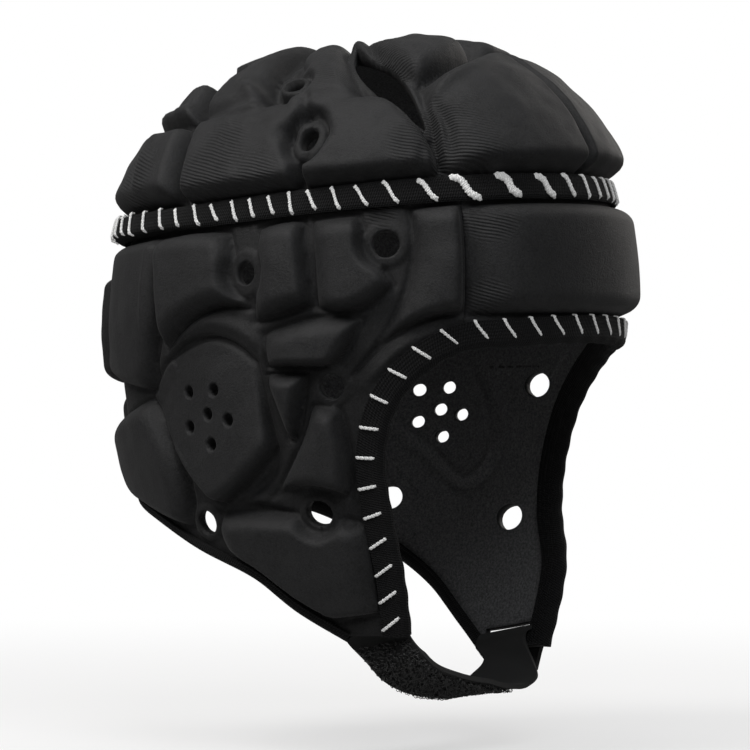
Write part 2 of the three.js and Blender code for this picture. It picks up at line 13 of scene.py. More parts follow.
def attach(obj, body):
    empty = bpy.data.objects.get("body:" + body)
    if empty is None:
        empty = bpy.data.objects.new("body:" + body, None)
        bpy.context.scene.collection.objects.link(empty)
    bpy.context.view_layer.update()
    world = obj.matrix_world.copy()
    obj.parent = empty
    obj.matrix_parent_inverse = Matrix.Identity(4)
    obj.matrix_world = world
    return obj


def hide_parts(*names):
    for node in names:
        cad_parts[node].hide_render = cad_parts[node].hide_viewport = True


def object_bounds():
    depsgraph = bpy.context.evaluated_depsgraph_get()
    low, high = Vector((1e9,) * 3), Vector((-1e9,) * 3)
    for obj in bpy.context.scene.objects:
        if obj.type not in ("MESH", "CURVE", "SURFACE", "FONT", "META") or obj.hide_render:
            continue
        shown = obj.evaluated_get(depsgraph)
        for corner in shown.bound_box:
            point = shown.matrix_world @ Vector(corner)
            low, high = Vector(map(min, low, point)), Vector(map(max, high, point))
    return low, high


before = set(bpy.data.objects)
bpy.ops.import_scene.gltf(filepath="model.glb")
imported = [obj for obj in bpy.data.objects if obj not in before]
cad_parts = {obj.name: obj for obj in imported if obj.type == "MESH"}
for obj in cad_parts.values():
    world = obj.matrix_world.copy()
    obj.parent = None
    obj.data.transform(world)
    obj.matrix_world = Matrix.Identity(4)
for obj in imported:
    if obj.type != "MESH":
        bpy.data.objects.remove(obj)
CAD_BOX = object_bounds()

bl_info = {
    "name": "Padded Head Guard",
    "version": (1, 0, 0),
    "blender": (4, 5, 0),
    "location": "3D View > Sidebar > Head Guard",
    "description": "Makes the padded skins, tapes, stitches and strap of a head guard round its solids",
    "category": "Add Mesh",
}

# Lengths in the tables are millimetres, and angles degrees.
MM = 0.001
SIDES = {"right": 1, "left": -1}

# Head form, the inside of the guard
HALF_WIDTH = 79
FRONT_LENGTH = 97.5
BACK_LENGTH = 98
CROWN_RISE = 100
CROWN_MERIDIAN = 157
CROWN_FULLNESS = 0.053
GIRTH_FULLNESS = 0.039
TILT = 0.09
TILT_FROM = -35
TILT_TO = 40
JAW_DROP = 137
Narrowing = namedtuple("Narrowing", "by power")
JAW_WIDTH = Narrowing(29, 1.6)
JAW_FRONT = Narrowing(16, 2)
JAW_BACK = Narrowing(24, 1.6)
# Millimetres to a degree round the head, for spacings and the cloth's pattern
DEGREE_ARC = 1.55

# Panels, by degrees round the head from the brow centre and millimetres up its surface from the widest line
WALL = 3
PAD_GAP = 1
BROW_JOINT = 41
BACK_JOINT = 158
CROWN_SEAM = 39.5
NAPE_EDGE = -68
BROW_EDGE = -9
BROW_STATIONS = [30, 15, 0, -15, -30]
# Shares of a side grid's front and lower sides that go to the brow joint and to the flap's tip
JOINT_SHARE = 0.34
TIP_SHARE = 0.16
FACE_EDGE = [
    (BROW_JOINT, -11.5), (50, -18), (57.5, -30.5), (61.5, -52), (60.5, -75), (58.5, -97), (57.5, -119),
]
JAW_EDGE = [
    (74.5, -122.5), (84.5, -109.5), (95.5, -96.5), (112, -86.5), (132, -74.5), (BACK_JOINT, NAPE_EDGE),
]
LEFT_TIP_LONGER = 9
LEFT_TIP_FORWARD = 4
# How the points of the jaw edge are moved on each side. The right flap's rear corner is drawn up and forward.
LEFT_JAW_LOWER = [9, 9.5, 8, 2.5, 0, 0]
RIGHT_JAW_LOWER = [-3, -0.5, 0, 0, 0, 0]
RIGHT_JAW_FORWARD = [3, 0.5, 0, 0, 0, 0]

# Grids of the skins and tapes, in cells, and about how wide a skin's cell is
Grid = namedtuple("Grid", "columns rows")
SIDE_GRID = Grid(225, 200)
BROW_GRID = Grid(150, 64)
BACK_GRID = Grid(80, 136)
CROWN_GRID = Grid(216, 216)
BAND_GRID = Grid(720, 12)
BINDING_GRID = Grid(460, 30)
STRAP_GRID = Grid(200, 16)
CELL = 0.85

# Foam pads, each a four-sided patch. Corners are (around, height). Bows bulge a side outwards, and softs are
# the widths of its shoulders, both in the order top, rear, bottom, front. Rises are off the panel, at the
# pad's lower end and at its upper end. A pad with a negative upper rise is sunk into the foam round it.
Pad = namedtuple("Pad", "name upper_front upper_rear lower_rear lower_front bow soft rise top_rise")
SIDE_PADS = [
    Pad("temple_pad", (41.3, 34.2), (53, 34.2), (66, -22.5), (41.3, -2),
        (0, -5.5, -6, 0), (5, 10, 3, 3), 7, 7),
    Pad("upper_front_pad", (64, 33), (75, 33), (73.2, 2), (56.5, 8),
        (0, 0, 5, -1), (5, 7, 3.5, 2), 7, 6),
    Pad("upper_middle_pad", (77, 33), (88.5, 32), (88.7, -2.5), (74.2, 2.5),
        (1, 0, 0, 0), (5, 8, 4.5, 2.5), 7, 6),
    Pad("upper_rear_pad", (96.5, 32), (119, 33), (114, -12), (89.8, 2.5),
        (1.5, 0, -7.5, 0), (5, 4, 4.5, 4), 7.5, 6.5),
    Pad("rear_pad", (116.5, 34.2), (147.8, 34.2), (146.5, -21), (120.5, -27.5),
        (0, 0, 1, 2.5), (4, 4, 5, 4), 5.5, 5),
    Pad("wing_pad", (63, -2.6), (86.4, -7), (85.7, -18.9), (69, -18.8),
        (2.8, 0, 0, 0), (5, 7, 2.6, 3), 7, 5),
    Pad("dart_pad", (76, -21.5), (86.2, -21.5), (81.6, -46), (79.3, -46),
        (0, 0, 0, 0), (3, 5, 4, 2.4), 6, 7.5),
    Pad("cheek_pad", (69.5, -33), (75.5, -33), (87, -67), (68, -67),
        (0, -1.5, -4, 1.5), (4, 7, 3.6, 2.8), 8, 7),
    Pad("ear_pad", (88.5, -17), (122, -29), (102.5, -70.5), (85, -49.5),
        (15.5, 2.5, 2.5, 0), (1, 2, 4, 2), 7, -2.2),
    Pad("jaw_pad", (64, -77), (103.5, -74), (80.5, -114), (62, -110.5),
        (2.2, 7.5, 0, 0), (4, 6, 2.6, 6), 6, 7),
    Pad("nape_pad", (122, -30.5), (157, -43), (142, -69), (114, -80),
        (0, 1, 1, 5), (5, 6, 5, 5), 5.5, 6),
]
# Foam that has no pad of its own: the back's pads run on to the sides, thick below and thin under the band
SIDE_SWELLS = [
    Pad("rear_lobe", (150.5, 24), (158, 24), (158, -25.5), (150, -24),
        (0, 0, 0, 0), (4, 0.4, 5, 3), 7.5, 7),
    Pad("rear_base", (147, 34), (158, 34), (158, 0), (147, 0),
        (0, 0, 0, 0), (2, 0.4, 5, 2), 2.8, 2.8),
]
BACK_SWELLS = [
    Pad("back_base", (158, 34), (202, 34), (202, 0), (158, 0),
        (0, 0, 0, 0), (2, 0.4, 5, 0.4), 2.8, 2.8),
]
LEFT_PADS = {
    "jaw_pad": {"upper_front": (65, -87.5), "upper_rear": (103, -79.5)},
    "ear_pad": {"rise": 0.5, "top_rise": -3.4},
}
CROWN_PADS = [
    Pad("crown_front_lower_pad", (0.8, 107), (46, 84.5), (44.6, 44.6), (0.8, 44.6),
        (3, 0, 0, 0), (6, 9, 3.4, 1.4), 10, 7),
    Pad("crown_front_upper_pad", (14, 145), (62, 124), (46.3, 85), (4, 107.5),
        (0, 0, -3, 0), (8, 4, 5, 6), 7.5, 6),
    Pad("crown_side_front_pad", (58, 80.5), (77.8, 81.5), (76.8, 44.6), (45.6, 44.6),
        (0, 0, 0, 3.5), (6, 2, 3, 3), 9.5, 7.5),
    Pad("crown_side_rear_pad", (79, 81.5), (117.5, 80), (110.8, 44.6), (78, 44.6),
        (0, 0, 0, 0), (6, 2.6, 3, 2), 9.5, 7.5),
    Pad("crown_top_front_pad", (80, 142), (103, 140), (84, 69), (59.5, 69),
        (0, -3, 0, 0), (7, 1.8, 8, 4.5), 8.5, 4),
    Pad("crown_top_rear_pad", (112, 142), (132, 140), (113.5, 72), (87, 69),
        (0, 0, 0, -3), (8, 2, 8, 4), 9.5, 6),
    Pad("crown_rear_lower_pad", (119, 76), (179, 76), (179, 44.6), (112, 44.6),
        (0, 0, 0, 0), (4, 5, 4, 3), 10.5, 10),
    Pad("crown_rear_upper_pad", (129, 97), (178, 98), (179, 73), (117, 74),
        (0, 0, 0, 0), (3.5, 5, 4, 2.6), 6.5, 11.5),
]
CROWN_SWELLS = [
    Pad("crown_heel", (124, 141), (178, 140), (178, 105.5), (124, 105.5),
        (0, 0, 0, 0), (8, 5, 1.6, 1.6), 8, 6),
]
BROW_PADS = [
    Pad("brow_pad", (-40.7, 33.6), (40.7, 33.6), (40.7, -2.6), (-40.7, -2.6),
        (0.6, 0, 0, 0), (4.5, 11, 5, 11), 6.5, 6.5),
]
BACK_PADS = [
    Pad("back_upper_pad", (158, 24), (202, 24), (202, -25.5), (158, -25.5),
        (0, 0, 0, 0), (4, 0.4, 5, 0.4), 7.5, 7),
    Pad("back_lower_pad", (158.5, -27), (201.5, -27), (201.5, -62), (158.5, -62),
        (0, 0, 0, 0), (5, 5, 5, 5), 5.5, 5.5),
]
SHOULDER_REACH = 1.7
SHOULDER_POWER = 2.6
PAD_CREASE = 1.3
PAD_CREASE_WIDTH = 0.9
# Creases round the pads fade where other foam there is between these heights
CREASE_FADE = (3, 6)
# Least distance from the lining to the cloth, where creases press into it
LEAST_WALL = 1.2
# No foam lies within the first of these distances from the jaw edge, and from the second it is full
JAW_EDGE_CLEAR = (2.4, 6.5)
PAD_SIDE_STEPS = 13

# How far past a shape its points are looked for
PAD_MARGIN = 12
RING_MARGIN = 1
SLIT_MARGIN = 2
HOLE_MARGIN = 4

# Slow unevenness of the foam under each skin
Ripple = namedtuple("Ripple", "depth scale")
CROWN_RIPPLES = [Ripple(0.8, 15), Ripple(0.35, 6)]
SIDE_RIPPLES = [Ripple(0.5, 18), Ripple(0.2, 7)]
BROW_RIPPLES = [Ripple(0.4, 20)]
BACK_RIPPLES = [Ripple(0.5, 18)]

# Vents at (around, height) on the right and on the left, with half of their widths and heights. Each has a
# flat ring of cloth round it, of a base height, that may be stretched upwards into an eye.
Vent = namedtuple("Vent", "right left right_size left_size ring stretch base")
SIDE_VENTS = [
    Vent((91, 16), (91, 16), (4, 4.4), (4, 4.4), 3, 1.15, 0.9),
    Vent((58, 22), (58, 22), (5, 5), (5, 5), 3.4, 1, 0.9),
    Vent((70.5, -26), (70.5, -26), (4.8, 4.8), (6.8, 5), 2.8, 1, 0.5),
    Vent((75.5, -73), (74.5, -79), (5.4, 5), (6.6, 5.3), 2.6, 1, 1.2),
    Vent((108.5, -77.5), (111, -72), (4.8, 4.8), (5.8, 5), 2.2, 1, 0.9),
]
LEFT_EAR_SHIFT = -3.5
EAR_VENTS = [
    Vent((around, height), (around + LEFT_EAR_SHIFT, height), (2.5, 2.6), (3.3, 2.6), 0, 1, 0)
    for around, height in [(102, -36), (108, -28), (100, -27), (96, -38), (101, -47), (108, -41)]
]
CROWN_VENTS = [
    Vent((76.5, 62.5), (76.5, 62.5), (3.9, 4.8), (3.9, 4.8), 3.2, 1.05, 4),
    Vent((86, 88.5), (86, 88.5), (4.2, 3.4), (4.2, 3.4), 2.2, 1.1, 5.5),
]
RING_MOAT = 2.2
RING_FLAT_SHARE = 0.75
RING_EDGE = 0.6

# Eye-shaped slits through the crown, from their lower to their upper end
Slit = namedtuple("Slit", "low high bend half_width")
CROWN_SLITS = [
    Slit((46.8, 62.5), (69, 122), -1, 6.3),
    Slit((-46.8, 62.5), (-69, 122), 1, 6.3),
    Slit((0, 58), (0, 100), 0, 0.9),
]
SLIT_ROLL = 2
SLIT_RIM = 0.6
SLIT_LIP = 1.1
SLIT_LIP_WIDTH = 1.2

# Patches where the knit's ribs show, with their radii
RibPatch = namedtuple("RibPatch", "around height radius")
RIB_PATCHES = [
    RibPatch(42, 60, 16), RibPatch(40, 48, 14), RibPatch(51, 56, 9), RibPatch(54, 100, 13),
    RibPatch(103, 49, 14), RibPatch(100, 60, 12), RibPatch(88, 47, 10), RibPatch(72, 92, 9),
    RibPatch(35, 29, 10), RibPatch(36, 2, 8), RibPatch(59, 33, 6), RibPatch(128, 54, 11),
    RibPatch(160, 62, 14), RibPatch(165, -5, 14),
]

# Creases pressed into the cloth along lines of (around, height). Where the depth is negative they are folds.
Crease = namedtuple("Crease", "line depth width")
CREASE_STEPS = 40
CREASE_REACH = 4
CREASE_END_SHARE = 0.03
SIDE_CREASES = [
    Crease([(117, -15.5), (107, -4.5), (100.5, -1.5), (93, -4.5), (86.5, -13)], -2.2, 3),
    Crease([(114.5, -16), (107, -9.8), (100.5, -7.4), (94, -10.8), (89.2, -17)], 2, 1.2),
    Crease([(143, 36), (143, 10), (142, -20)], 2.5, 7),
    Crease([(41, 34), (41, 16), (41, -1)], -3.4, 3),
    Crease([(122, -29.5), (112.5, -51), (103, -70)], -0.9, 1.0),
    Crease([(119.8, 30), (119.3, 8), (118.5, -12)], -0.9, 0.9),
    Crease([(104, -74), (97, -72), (90, -71.5), (83, -73)], 2, 1.5),
    Crease([(101, -69), (95, -67), (88, -68.5)], -1.4, 1.6),
    Crease([(84.5, -50), (86.5, -57), (90, -63), (95, -67.5), (104, -73)], 2.4, 2),
    Crease([(79.5, -115.8), (71, -113.5), (62, -110.7)], 1.4, 1.1),
    Crease([(66, -23), (62, -16.5), (58.5, -11), (55, -6.5), (50, -3), (44, -1.5)], 1.6, 1.2),
    Crease([(64, -26), (60, -20), (56.5, -14.5), (52, -10), (46, -7)], -1.2, 1.8),
]
CROWN_CREASES = [
    Crease([(77, 69), (78.4, 76), (79.5, 82)], 1.6, 1.5),
    Crease([(76.8, 56), (77.5, 50), (78.2, 45.5)], 2.6, 1.3),
    Crease([(82.6, 67.5), (82.8, 61)], 3.4, 3),
    Crease([(70.4, 66), (70.2, 59)], 1.8, 2),
    Crease([(84.5, 97), (88.5, 101)], 3, 2.2),
    Crease([(97, 106), (101, 108)], 2.5, 2),
    Crease([(92, 87), (98, 90), (104, 98)], 2.2, 1.8),
    Crease([(94, 84), (102, 87), (110, 95)], -1.8, 2.2),
    Crease([(114, 74.5), (104, 76), (93, 77.5), (80, 76.5), (62, 75)], -1.2, 1.5),
    Crease([(114, 78), (104, 79.5), (93, 81), (80, 80), (62, 78.5)], 1, 1.6),
    Crease([(45, 76), (43.8, 65), (44, 54), (45, 44.5)], -2.2, 1.2),
    Crease([(43.2, 73), (41.8, 62), (42, 48)], 1.8, 1.5),
    Crease([(45, 73.5), (42.5, 77.5), (37, 83), (28.5, 88)], -1.8, 1.5),
    Crease([(42, 71), (37.5, 77), (30, 83)], 1.2, 2.2),
    Crease([(49.5, 53.5), (49, 49.5), (49, 45.5)], 2, 1.3),
    Crease([(57, 116), (66, 125), (73, 125)], -5.5, 4),
    Crease([(134, 73), (129, 60), (125, 47)], -1.5, 3),
    Crease([(117, 79.5), (128, 80), (145, 78.5), (165, 78.5)], -3, 2.8),
    Crease([(116, 75), (130, 74.4), (145, 74), (165, 74)], 2, 1.6),
    Crease([(119, 86), (124, 92)], 2.5, 2.4),
]
BROW_CREASES = [
    Crease([(41, 34), (41, 16), (41, -1)], -3.4, 3),
]
LINING_CREASES = [
    Crease(
        [(94.5, -16.5), (92.5, -23), (89, -35), (86.5, -52.5), (92.5, -63.5), (104, -51.5), (116.5, -37)],
        0.9, 1.6,
    ),
    Crease(
        [(91.5, -14), (89.5, -24), (85.5, -36), (83, -54), (92.5, -68), (106.5, -54), (119.5, -39)],
        -0.9, 2,
    ),
]

# Tapes
BAND_LIFT = 3.7
BAND_REAR_LIFT = 4.5
BAND_REAR_FROM = 95
BAND_REAR_TO = 140
BAND_SWELL = 0.9
BAND_PINCH = 0.45
BAND_PINCH_WIDTH = 1.8
BAND_FLATNESS_POWER = 6
FACE_BINDING_LEGS = (7.2, 6.5)
JAW_BINDING_LEGS = (1.6, 1.8)
BINDING_CLEAR = 0.4
BINDING_PUFF = 0.35
BINDING_RIB = 0.35
BINDING_RIB_PITCH = 2.4
EDGE_STEPS = 1200
TAPE_SHARP_ANGLE = 50

# Stitches, each a twisted pair of strands
TWIST_PITCH = 3.4
STRAND_GAP = 0.26
STITCH_END_SHARE = 0.14
STITCH_END_FATNESS = 0.7
STITCH_DIVE = 1.3
THREAD_SHARP_ANGLE = 60
# How far a stitch's end at the edge runs ahead of its other end, by shares of the face edge from tip to tip
FACE_SLANTS = [(0, 7), (0.06, 5), (0.12, 2.5), (0.18, 0.6), (0.235, 0.8), (0.28, 2.5), (0.32, 5), (0.5, 6)]
# How far the band's stitches slant, how bold they are and how far apart, by degrees round the head
BAND_SLANTS = [(-20, 1.5), (0, 3), (15, 5), (45, 6.5), (56, 6.5), (68, 4.5), (80, 3), (100, 4.2), (180, 4.2)]
BAND_BOLDNESS = [(-10, 1), (5, 1.1), (11, 1.7), (21, 2.2), (32, 2.5), (42, 1.9), (52, 1.2), (60, 1)]
BAND_SPACINGS = [(-12, 1.05), (4, 1.6), (20, 2.1), (32, 2.05), (42, 1.6), (52, 1.2), (60, 1)]
BAND_FIRST_STITCH = -176.0
BAND_SPACING_SPREAD = (0.88, 1.12)
BAND_SLANT_SPREAD = (0.75, 1.25)
BAND_HOOK_SPREAD = (1.6, 2.6)
BAND_TOP_SPREAD = (0.85, 1.1)
BAND_FOOT_SPREAD = (0.8, 1.05)
BAND_STITCH_REACH = 0.44
BAND_STITCH_LIFT = 0.85
BAND_STITCH_BOW = 0.4
BAND_STITCH_TURN = 1.5
FACE_SLANT_SPREAD = (-0.7, 0.7)
FACE_STITCH_LIFT = 0.25
FACE_STITCH_BOW = 0.3
FACE_STITCH_BOLDNESS = 0.85
FACE_STITCH_PAST_LEG = 0.4
FACE_STITCH_PAST_EDGE = 0.5
FACE_HOOK = 1.6
FACE_HOOK_FROM = 0.3
FACE_HOOK_TO = 0.36
FACE_HOOK_LEAN = 0.3
LEAST_HOOK = 0.2

# Chin strap
STRAP_AROUND = 66
STRAP_LIFT = -5
STRAP_MIDDLE_Y = -42.5
STRAP_END_HEIGHTS = [-104, -110, -116, -122]
# The strap's widthways direction on a flap, in degrees backwards and millimetres down
STRAP_SLANT = (4, 1.1)
SLOT_FROM = (55.5, -120.5)
SLOT_TO = (75.5, -126)
SLOT_HALF_HEIGHT = 2.4
SLOT_STRAP_DROP = 0.9
STRAP_OUTSIDE = WALL + 2.6
# The strap's way out through the slot, by drops below its height and lifts off the head
SLOT_PASS = [
    (6, STRAP_LIFT), (2, STRAP_LIFT), (0, -1), (0, WALL + 0.5),
    (2.5, STRAP_OUTSIDE), (9, STRAP_OUTSIDE), (15, STRAP_OUTSIDE),
]
# The strap's middle under the chin, and how far its rear edge lies below its front one
Sag = namedtuple("Sag", "x z tilt")
STRAP_SAG = [
    Sag(-46, -229, 5), Sag(-37, -234.5, 6), Sag(-20, -239.8, 7.5), Sag(0, -243, 7),
    Sag(16, -244, 2.5), Sag(29, -241.6, -3), Sag(37, -237.4, -4),
]

# Looped pile, on a share of the strap's length and width, with its loops' sizes as shares of its height
PILE_STATIONS = 400
PILE_FROM = 0.2
PILE_TO = 0.48
PILE_LOOPS = 1500
PILE_THREAD = 0.28
PILE_ASIDE_SPREAD = (-0.46, 0.46)
PILE_SIZE_SPREAD = (0.35, 0.6)
PILE_CENTRE_RISE = 0.6
PILE_TURNS = np.linspace(-0.25 * math.pi, 1.25 * math.pi, 6)

# Pitches in the finishes, in metres, and the way in which the knit's ribs are laid
TAPE_RIB_PITCH = 0.00095
TAPE_CORD_PITCH = 0.0013
THREAD_PITCH = 0.0009
WEBBING_PITCH = 0.0016
RIB_WAY_UP = 0.96
RIB_WAY_BACK = 0.28

# How much of the floor's paleness is light that it throws back. The rest only the camera sees.
FLOOR_BOUNCE = 0.4
# Metres from the floor's middle between which it turns into plain white ground
FLOOR_FADE = (0.2, 0.9)
FLOOR_RADIUS = 9

# Soft lamps round the stage, turned in degrees as the camera is, with sizes and distances in metres
Lamp = namedtuple("Lamp", "name azimuth elevation distance size watts colour")
LAMPS = [
    Lamp("key", -115, 50, 1.5, 0.7, 12.4, (1, 0.985, 0.97)),
    Lamp("front", -45, 42, 1.7, 0.8, 8.2, (0.96, 0.98, 1)),
    Lamp("rim", 82, 22, 1.4, 0.8, 4, (1, 0.95, 0.9)),
    Lamp("top", -60, 82, 1.5, 0.8, 5, (1, 1, 1)),
]


# Settings

def length(name, description, default):
    return FloatProperty(name=name, description=description, default=default, min=0, unit="LENGTH")


def colour(name, description, default):
    return FloatVectorProperty(
        name=name, description=description, default=default, size=3, subtype="COLOR", min=0, max=1,
    )


def coordinate(name, description, default):
    return FloatProperty(name=name, description=description, default=default, unit="LENGTH")


class HeadGuardSizes(bpy.types.PropertyGroup):
    band_width: length("Band width", "Width of the woven band over the crown seam", 0.0094)
    tape_thickness: length("Tape thickness", "Thickness of the band and the bindings", 0.0013)
    thread_width: length("Thread width", "Width of a strand of the white thread", 0.0011)
    thread_height: length("Thread height", "How high the thread stands off its tape", 0.0009)
    band_spacing: length(
        "Band stitch spacing", "Space between the band's stitches at the sides and back", 0.0084,
    )
    face_spacing: length("Face stitch spacing", "Space between the stitches of the face binding", 0.0105)
    strap_width: length("Strap width", "Width of the chin strap", 0.025)
    strap_thickness: length("Strap thickness", "Thickness of the chin strap", 0.0019)
    loop_height: length("Loop height", "Height of the strap's looped pile", 0.0016)
    rib_pitch: length("Rib pitch", "Space between the knit's ribs", 0.00112)


class HeadGuardColours(bpy.types.PropertyGroup):
    pad: colour("Pad cloth", "Stretched knit over the foam pads", (0.0125, 0.0125, 0.013))
    lining: colour("Lining", "Matte knit inside the guard", (0.1, 0.1, 0.103))
    tape: colour("Tape", "Woven band and bindings", (0.0065, 0.0065, 0.0068))
    thread: colour("Thread", "White stitches", (0.92, 0.92, 0.91))
    strap: colour("Strap", "Webbing of the chin strap", (0.0055, 0.0055, 0.0058))
    pile: colour("Pile", "Looped pile on the strap", (0.035, 0.035, 0.035))


class HeadGuardStage(bpy.types.PropertyGroup):
    lens: FloatProperty(
        name="Lens", description="Focal length of the camera", default=195.9, min=1, unit="CAMERA",
    )
    distance: length("Camera distance", "From the head's axis to the camera", 1.6)
    azimuth: FloatProperty(
        name="Camera azimuth", description="Turn of the camera round the head", default=math.radians(-57),
        unit="ROTATION",
    )
    aim_height: coordinate("Aim height", "Height that the camera looks at", -0.122)
    aim_aside: coordinate("Aim aside", "How far right of the axis it looks", 0.00235)
    floor_gap: length("Floor gap", "From the strap down to the floor", 0.02)
    floor: colour("Floor", "Pale studio floor", (0.9, 0.9, 0.9))
    ambient: FloatProperty(name="Ambient", description="Light from all round the studio", default=0.16, min=0)


# Head form and its chart

def smooth_ramp(value, low, high):
    share = np.clip((value - low) / (high - low), 0, 1)
    return share * share * (3 - 2 * share)


def head_points(around, height):
    """Points of the head form, in millimetres."""
    turn = np.radians(around)
    climb = np.clip(height, 0, CROWN_MERIDIAN) / CROWN_MERIDIAN * (math.pi / 2)
    fullness = 1 + CROWN_FULLNESS * np.sin(2 * climb) ** 2
    girth = 1 + GIRTH_FULLNESS * np.sin(2 * turn) ** 2
    drop = np.maximum(-height, 0) / JAW_DROP

    def reach(size, narrowing):
        return (size * fullness * np.cos(climb) - narrowing.by * drop ** narrowing.power) * girth

    lengthways = np.where(np.cos(turn) > 0, reach(FRONT_LENGTH, JAW_FRONT), reach(BACK_LENGTH, JAW_BACK))
    y = -lengthways * np.cos(turn)
    level = CROWN_RISE * (fullness * np.sin(climb) - 1) + np.minimum(height, 0)
    z = level - TILT * y * smooth_ramp(height, TILT_FROM, TILT_TO)
    return np.stack([-reach(HALF_WIDTH, JAW_WIDTH) * np.sin(turn), y, z], axis=-1)


def unit(vectors):
    return vectors / np.linalg.norm(vectors, axis=-1, keepdims=True)


def head_normals(around, height, step=0.05):
    level = np.minimum(height, CROWN_MERIDIAN - 1)
    along = head_points(around + step, level) - head_points(around - step, level)
    upwards = head_points(around, level + step) - head_points(around, level - step)
    return unit(np.cross(upwards, along))


def on_head(around, height, lift):
    around, height = np.asarray(around, float), np.asarray(height, float)
    return head_points(around, height) + head_normals(around, height) * np.asarray(lift, float)[..., None]


def bowed(start, end, bow=(0, 0)):
    """A side from start to end, pushed out in its middle by bow."""
    start, end, bow = np.array(start, float), np.array(end, float), np.array(bow, float)

    def side(share):
        share = np.asarray(share, float)[..., None]
        return start + (end - start) * share + bow * (4 * share * (1 - share))

    return side


def smooth_edge(points):
    """A smooth curve through the points, with the same share of it to each stretch."""
    points = np.array(points, float)
    ends = np.vstack([2 * points[0] - points[1], points, 2 * points[-1] - points[-2]])
    gaps = np.maximum(np.linalg.norm(np.diff(ends, axis=0), axis=1) ** 0.5, 1e-4)

    def curve(share):
        place = np.clip(np.asarray(share, float), 0, 1) * (len(points) - 1)
        first = np.minimum(place.astype(int), len(points) - 2)
        t = (place - first)[..., None]
        p0, p1, p2, p3 = (ends[first + k] for k in range(4))
        g0, g1, g2 = (gaps[first + k][..., None] for k in range(3))
        slope1 = ((p1 - p0) / g0 - (p2 - p0) / (g0 + g1) + (p2 - p1) / g1) * g1
        slope2 = ((p2 - p1) / g1 - (p3 - p1) / (g1 + g2) + (p3 - p2) / g2) * g1
        cubic = 2 * p1 - 2 * p2 + slope1 + slope2
        square = -3 * p1 + 3 * p2 - 2 * slope1 - slope2
        return p1 + t * (slope1 + t * (square + t * cubic))

    return curve


def join_edges(first, second, share):
    def edge(place):
        place = np.asarray(place, float)
        before, after = first(place / share), second((place - share) / (1 - share))
        return np.where((place < share)[..., None], before, after)

    return edge


def four_sided(top, rear, bottom, front):
    """Fills in a patch of the chart between its sides: across from front to rear, down from top to bottom."""
    def patch(across, down):
        s, t = across[..., None], down[..., None]
        sides = (1 - t) * top(across) + t * bottom(across) + (1 - s) * front(down) + s * rear(down)
        upper = (1 - s) * top(0) + s * top(1)
        lower = (1 - s) * bottom(0) + s * bottom(1)
        return sides - (1 - t) * upper - t * lower

    return patch


def side_edges(side):
    """The face and jaw edges of one side. The left flap reaches further down and forward, past its slot."""
    longer, forward = (LEFT_TIP_LONGER, LEFT_TIP_FORWARD) if side < 0 else (0, 0)
    face = list(FACE_EDGE[:-2]) + [(around - forward, height) for around, height in FACE_EDGE[-2:]]
    face[-1] = (face[-1][0], face[-1][1] - longer)
    drops = LEFT_JAW_LOWER if side < 0 else RIGHT_JAW_LOWER
    shifts = [0] * len(JAW_EDGE) if side < 0 else RIGHT_JAW_FORWARD
    jaw = [(around - shift, height - drop) for (around, height), shift, drop in zip(JAW_EDGE, shifts, drops)]
    return face, jaw


def brow_edge(around):
    """The height of the brow's lower edge, which dips from its middle to the side joints."""
    return BROW_EDGE + (FACE_EDGE[0][1] - BROW_EDGE) * (np.asarray(around, float) / BROW_JOINT) ** 2


def side_patch(side):
    face, jaw = side_edges(side)
    return four_sided(
        bowed((BROW_JOINT, CROWN_SEAM), (BACK_JOINT, CROWN_SEAM)),
        bowed((BACK_JOINT, CROWN_SEAM), (BACK_JOINT, NAPE_EDGE)),
        join_edges(bowed(face[-1], jaw[0]), smooth_edge(jaw), TIP_SHARE),
        join_edges(bowed((BROW_JOINT, CROWN_SEAM), face[0]), smooth_edge(face), JOINT_SHARE),
    )


def face_edge_path():
    """The face edge from the right flap's tip over the brow to the left flap's tip."""
    brow = [(around, float(brow_edge(around))) for around in BROW_STATIONS]
    left = [(-around, height) for around, height in side_edges(-1)[0]]
    return smooth_edge(side_edges(1)[0][::-1] + brow + left)


def jaw_edge_path():
    """The jaw edge from the left flap's tip round the nape to the right flap's tip."""
    left = [(360 - around, height) for around, height in side_edges(-1)[1]]
    return smooth_edge(left + [(180, NAPE_EDGE)] + side_edges(1)[1][::-1])


# Modelling

def deselect_all():
    for other in bpy.context.selected_objects:
        other.select_set(False)


def choose(piece):
    deselect_all()
    piece.select_set(True)
    bpy.context.view_layer.objects.active = piece


def add_grid(name, grid):
    """A flat grid, and each of its points' shares across and down it."""
    deselect_all()
    bpy.ops.mesh.primitive_grid_add(x_subdivisions=grid.columns, y_subdivisions=grid.rows, size=1)
    piece = bpy.context.object
    piece.name = piece.data.name = name
    places = points_of(piece)[:, :2] + 0.5
    return piece, places[:, 0], places[:, 1]


def points_of(piece):
    flat = np.zeros(len(piece.data.vertices) * 3)
    piece.data.vertices.foreach_get("co", flat)
    return flat.reshape(-1, 3)


def move_points(piece, points):
    """Puts a piece's vertices at points, in metres."""
    piece.data.vertices.foreach_set("co", np.asarray(points, np.float32).ravel())
    piece.data.update()


def face_outwards(piece, outward):
    """Turns an open sheet's faces the way that the vectors at its points say."""
    normals = np.array([vertex.normal for vertex in piece.data.vertices])
    if (normals * outward).sum() < 0:
        piece.data.flip_normals()


def apply_modifier(piece, kind, **settings):
    modifier = piece.modifiers.new(kind.title(), kind)
    for name, value in settings.items():
        setattr(modifier, name, value)
    choose(piece)
    bpy.ops.object.modifier_apply(modifier=modifier.name)


SELECT_ALL = (bpy.ops.mesh.select_all, {"action": "SELECT"})


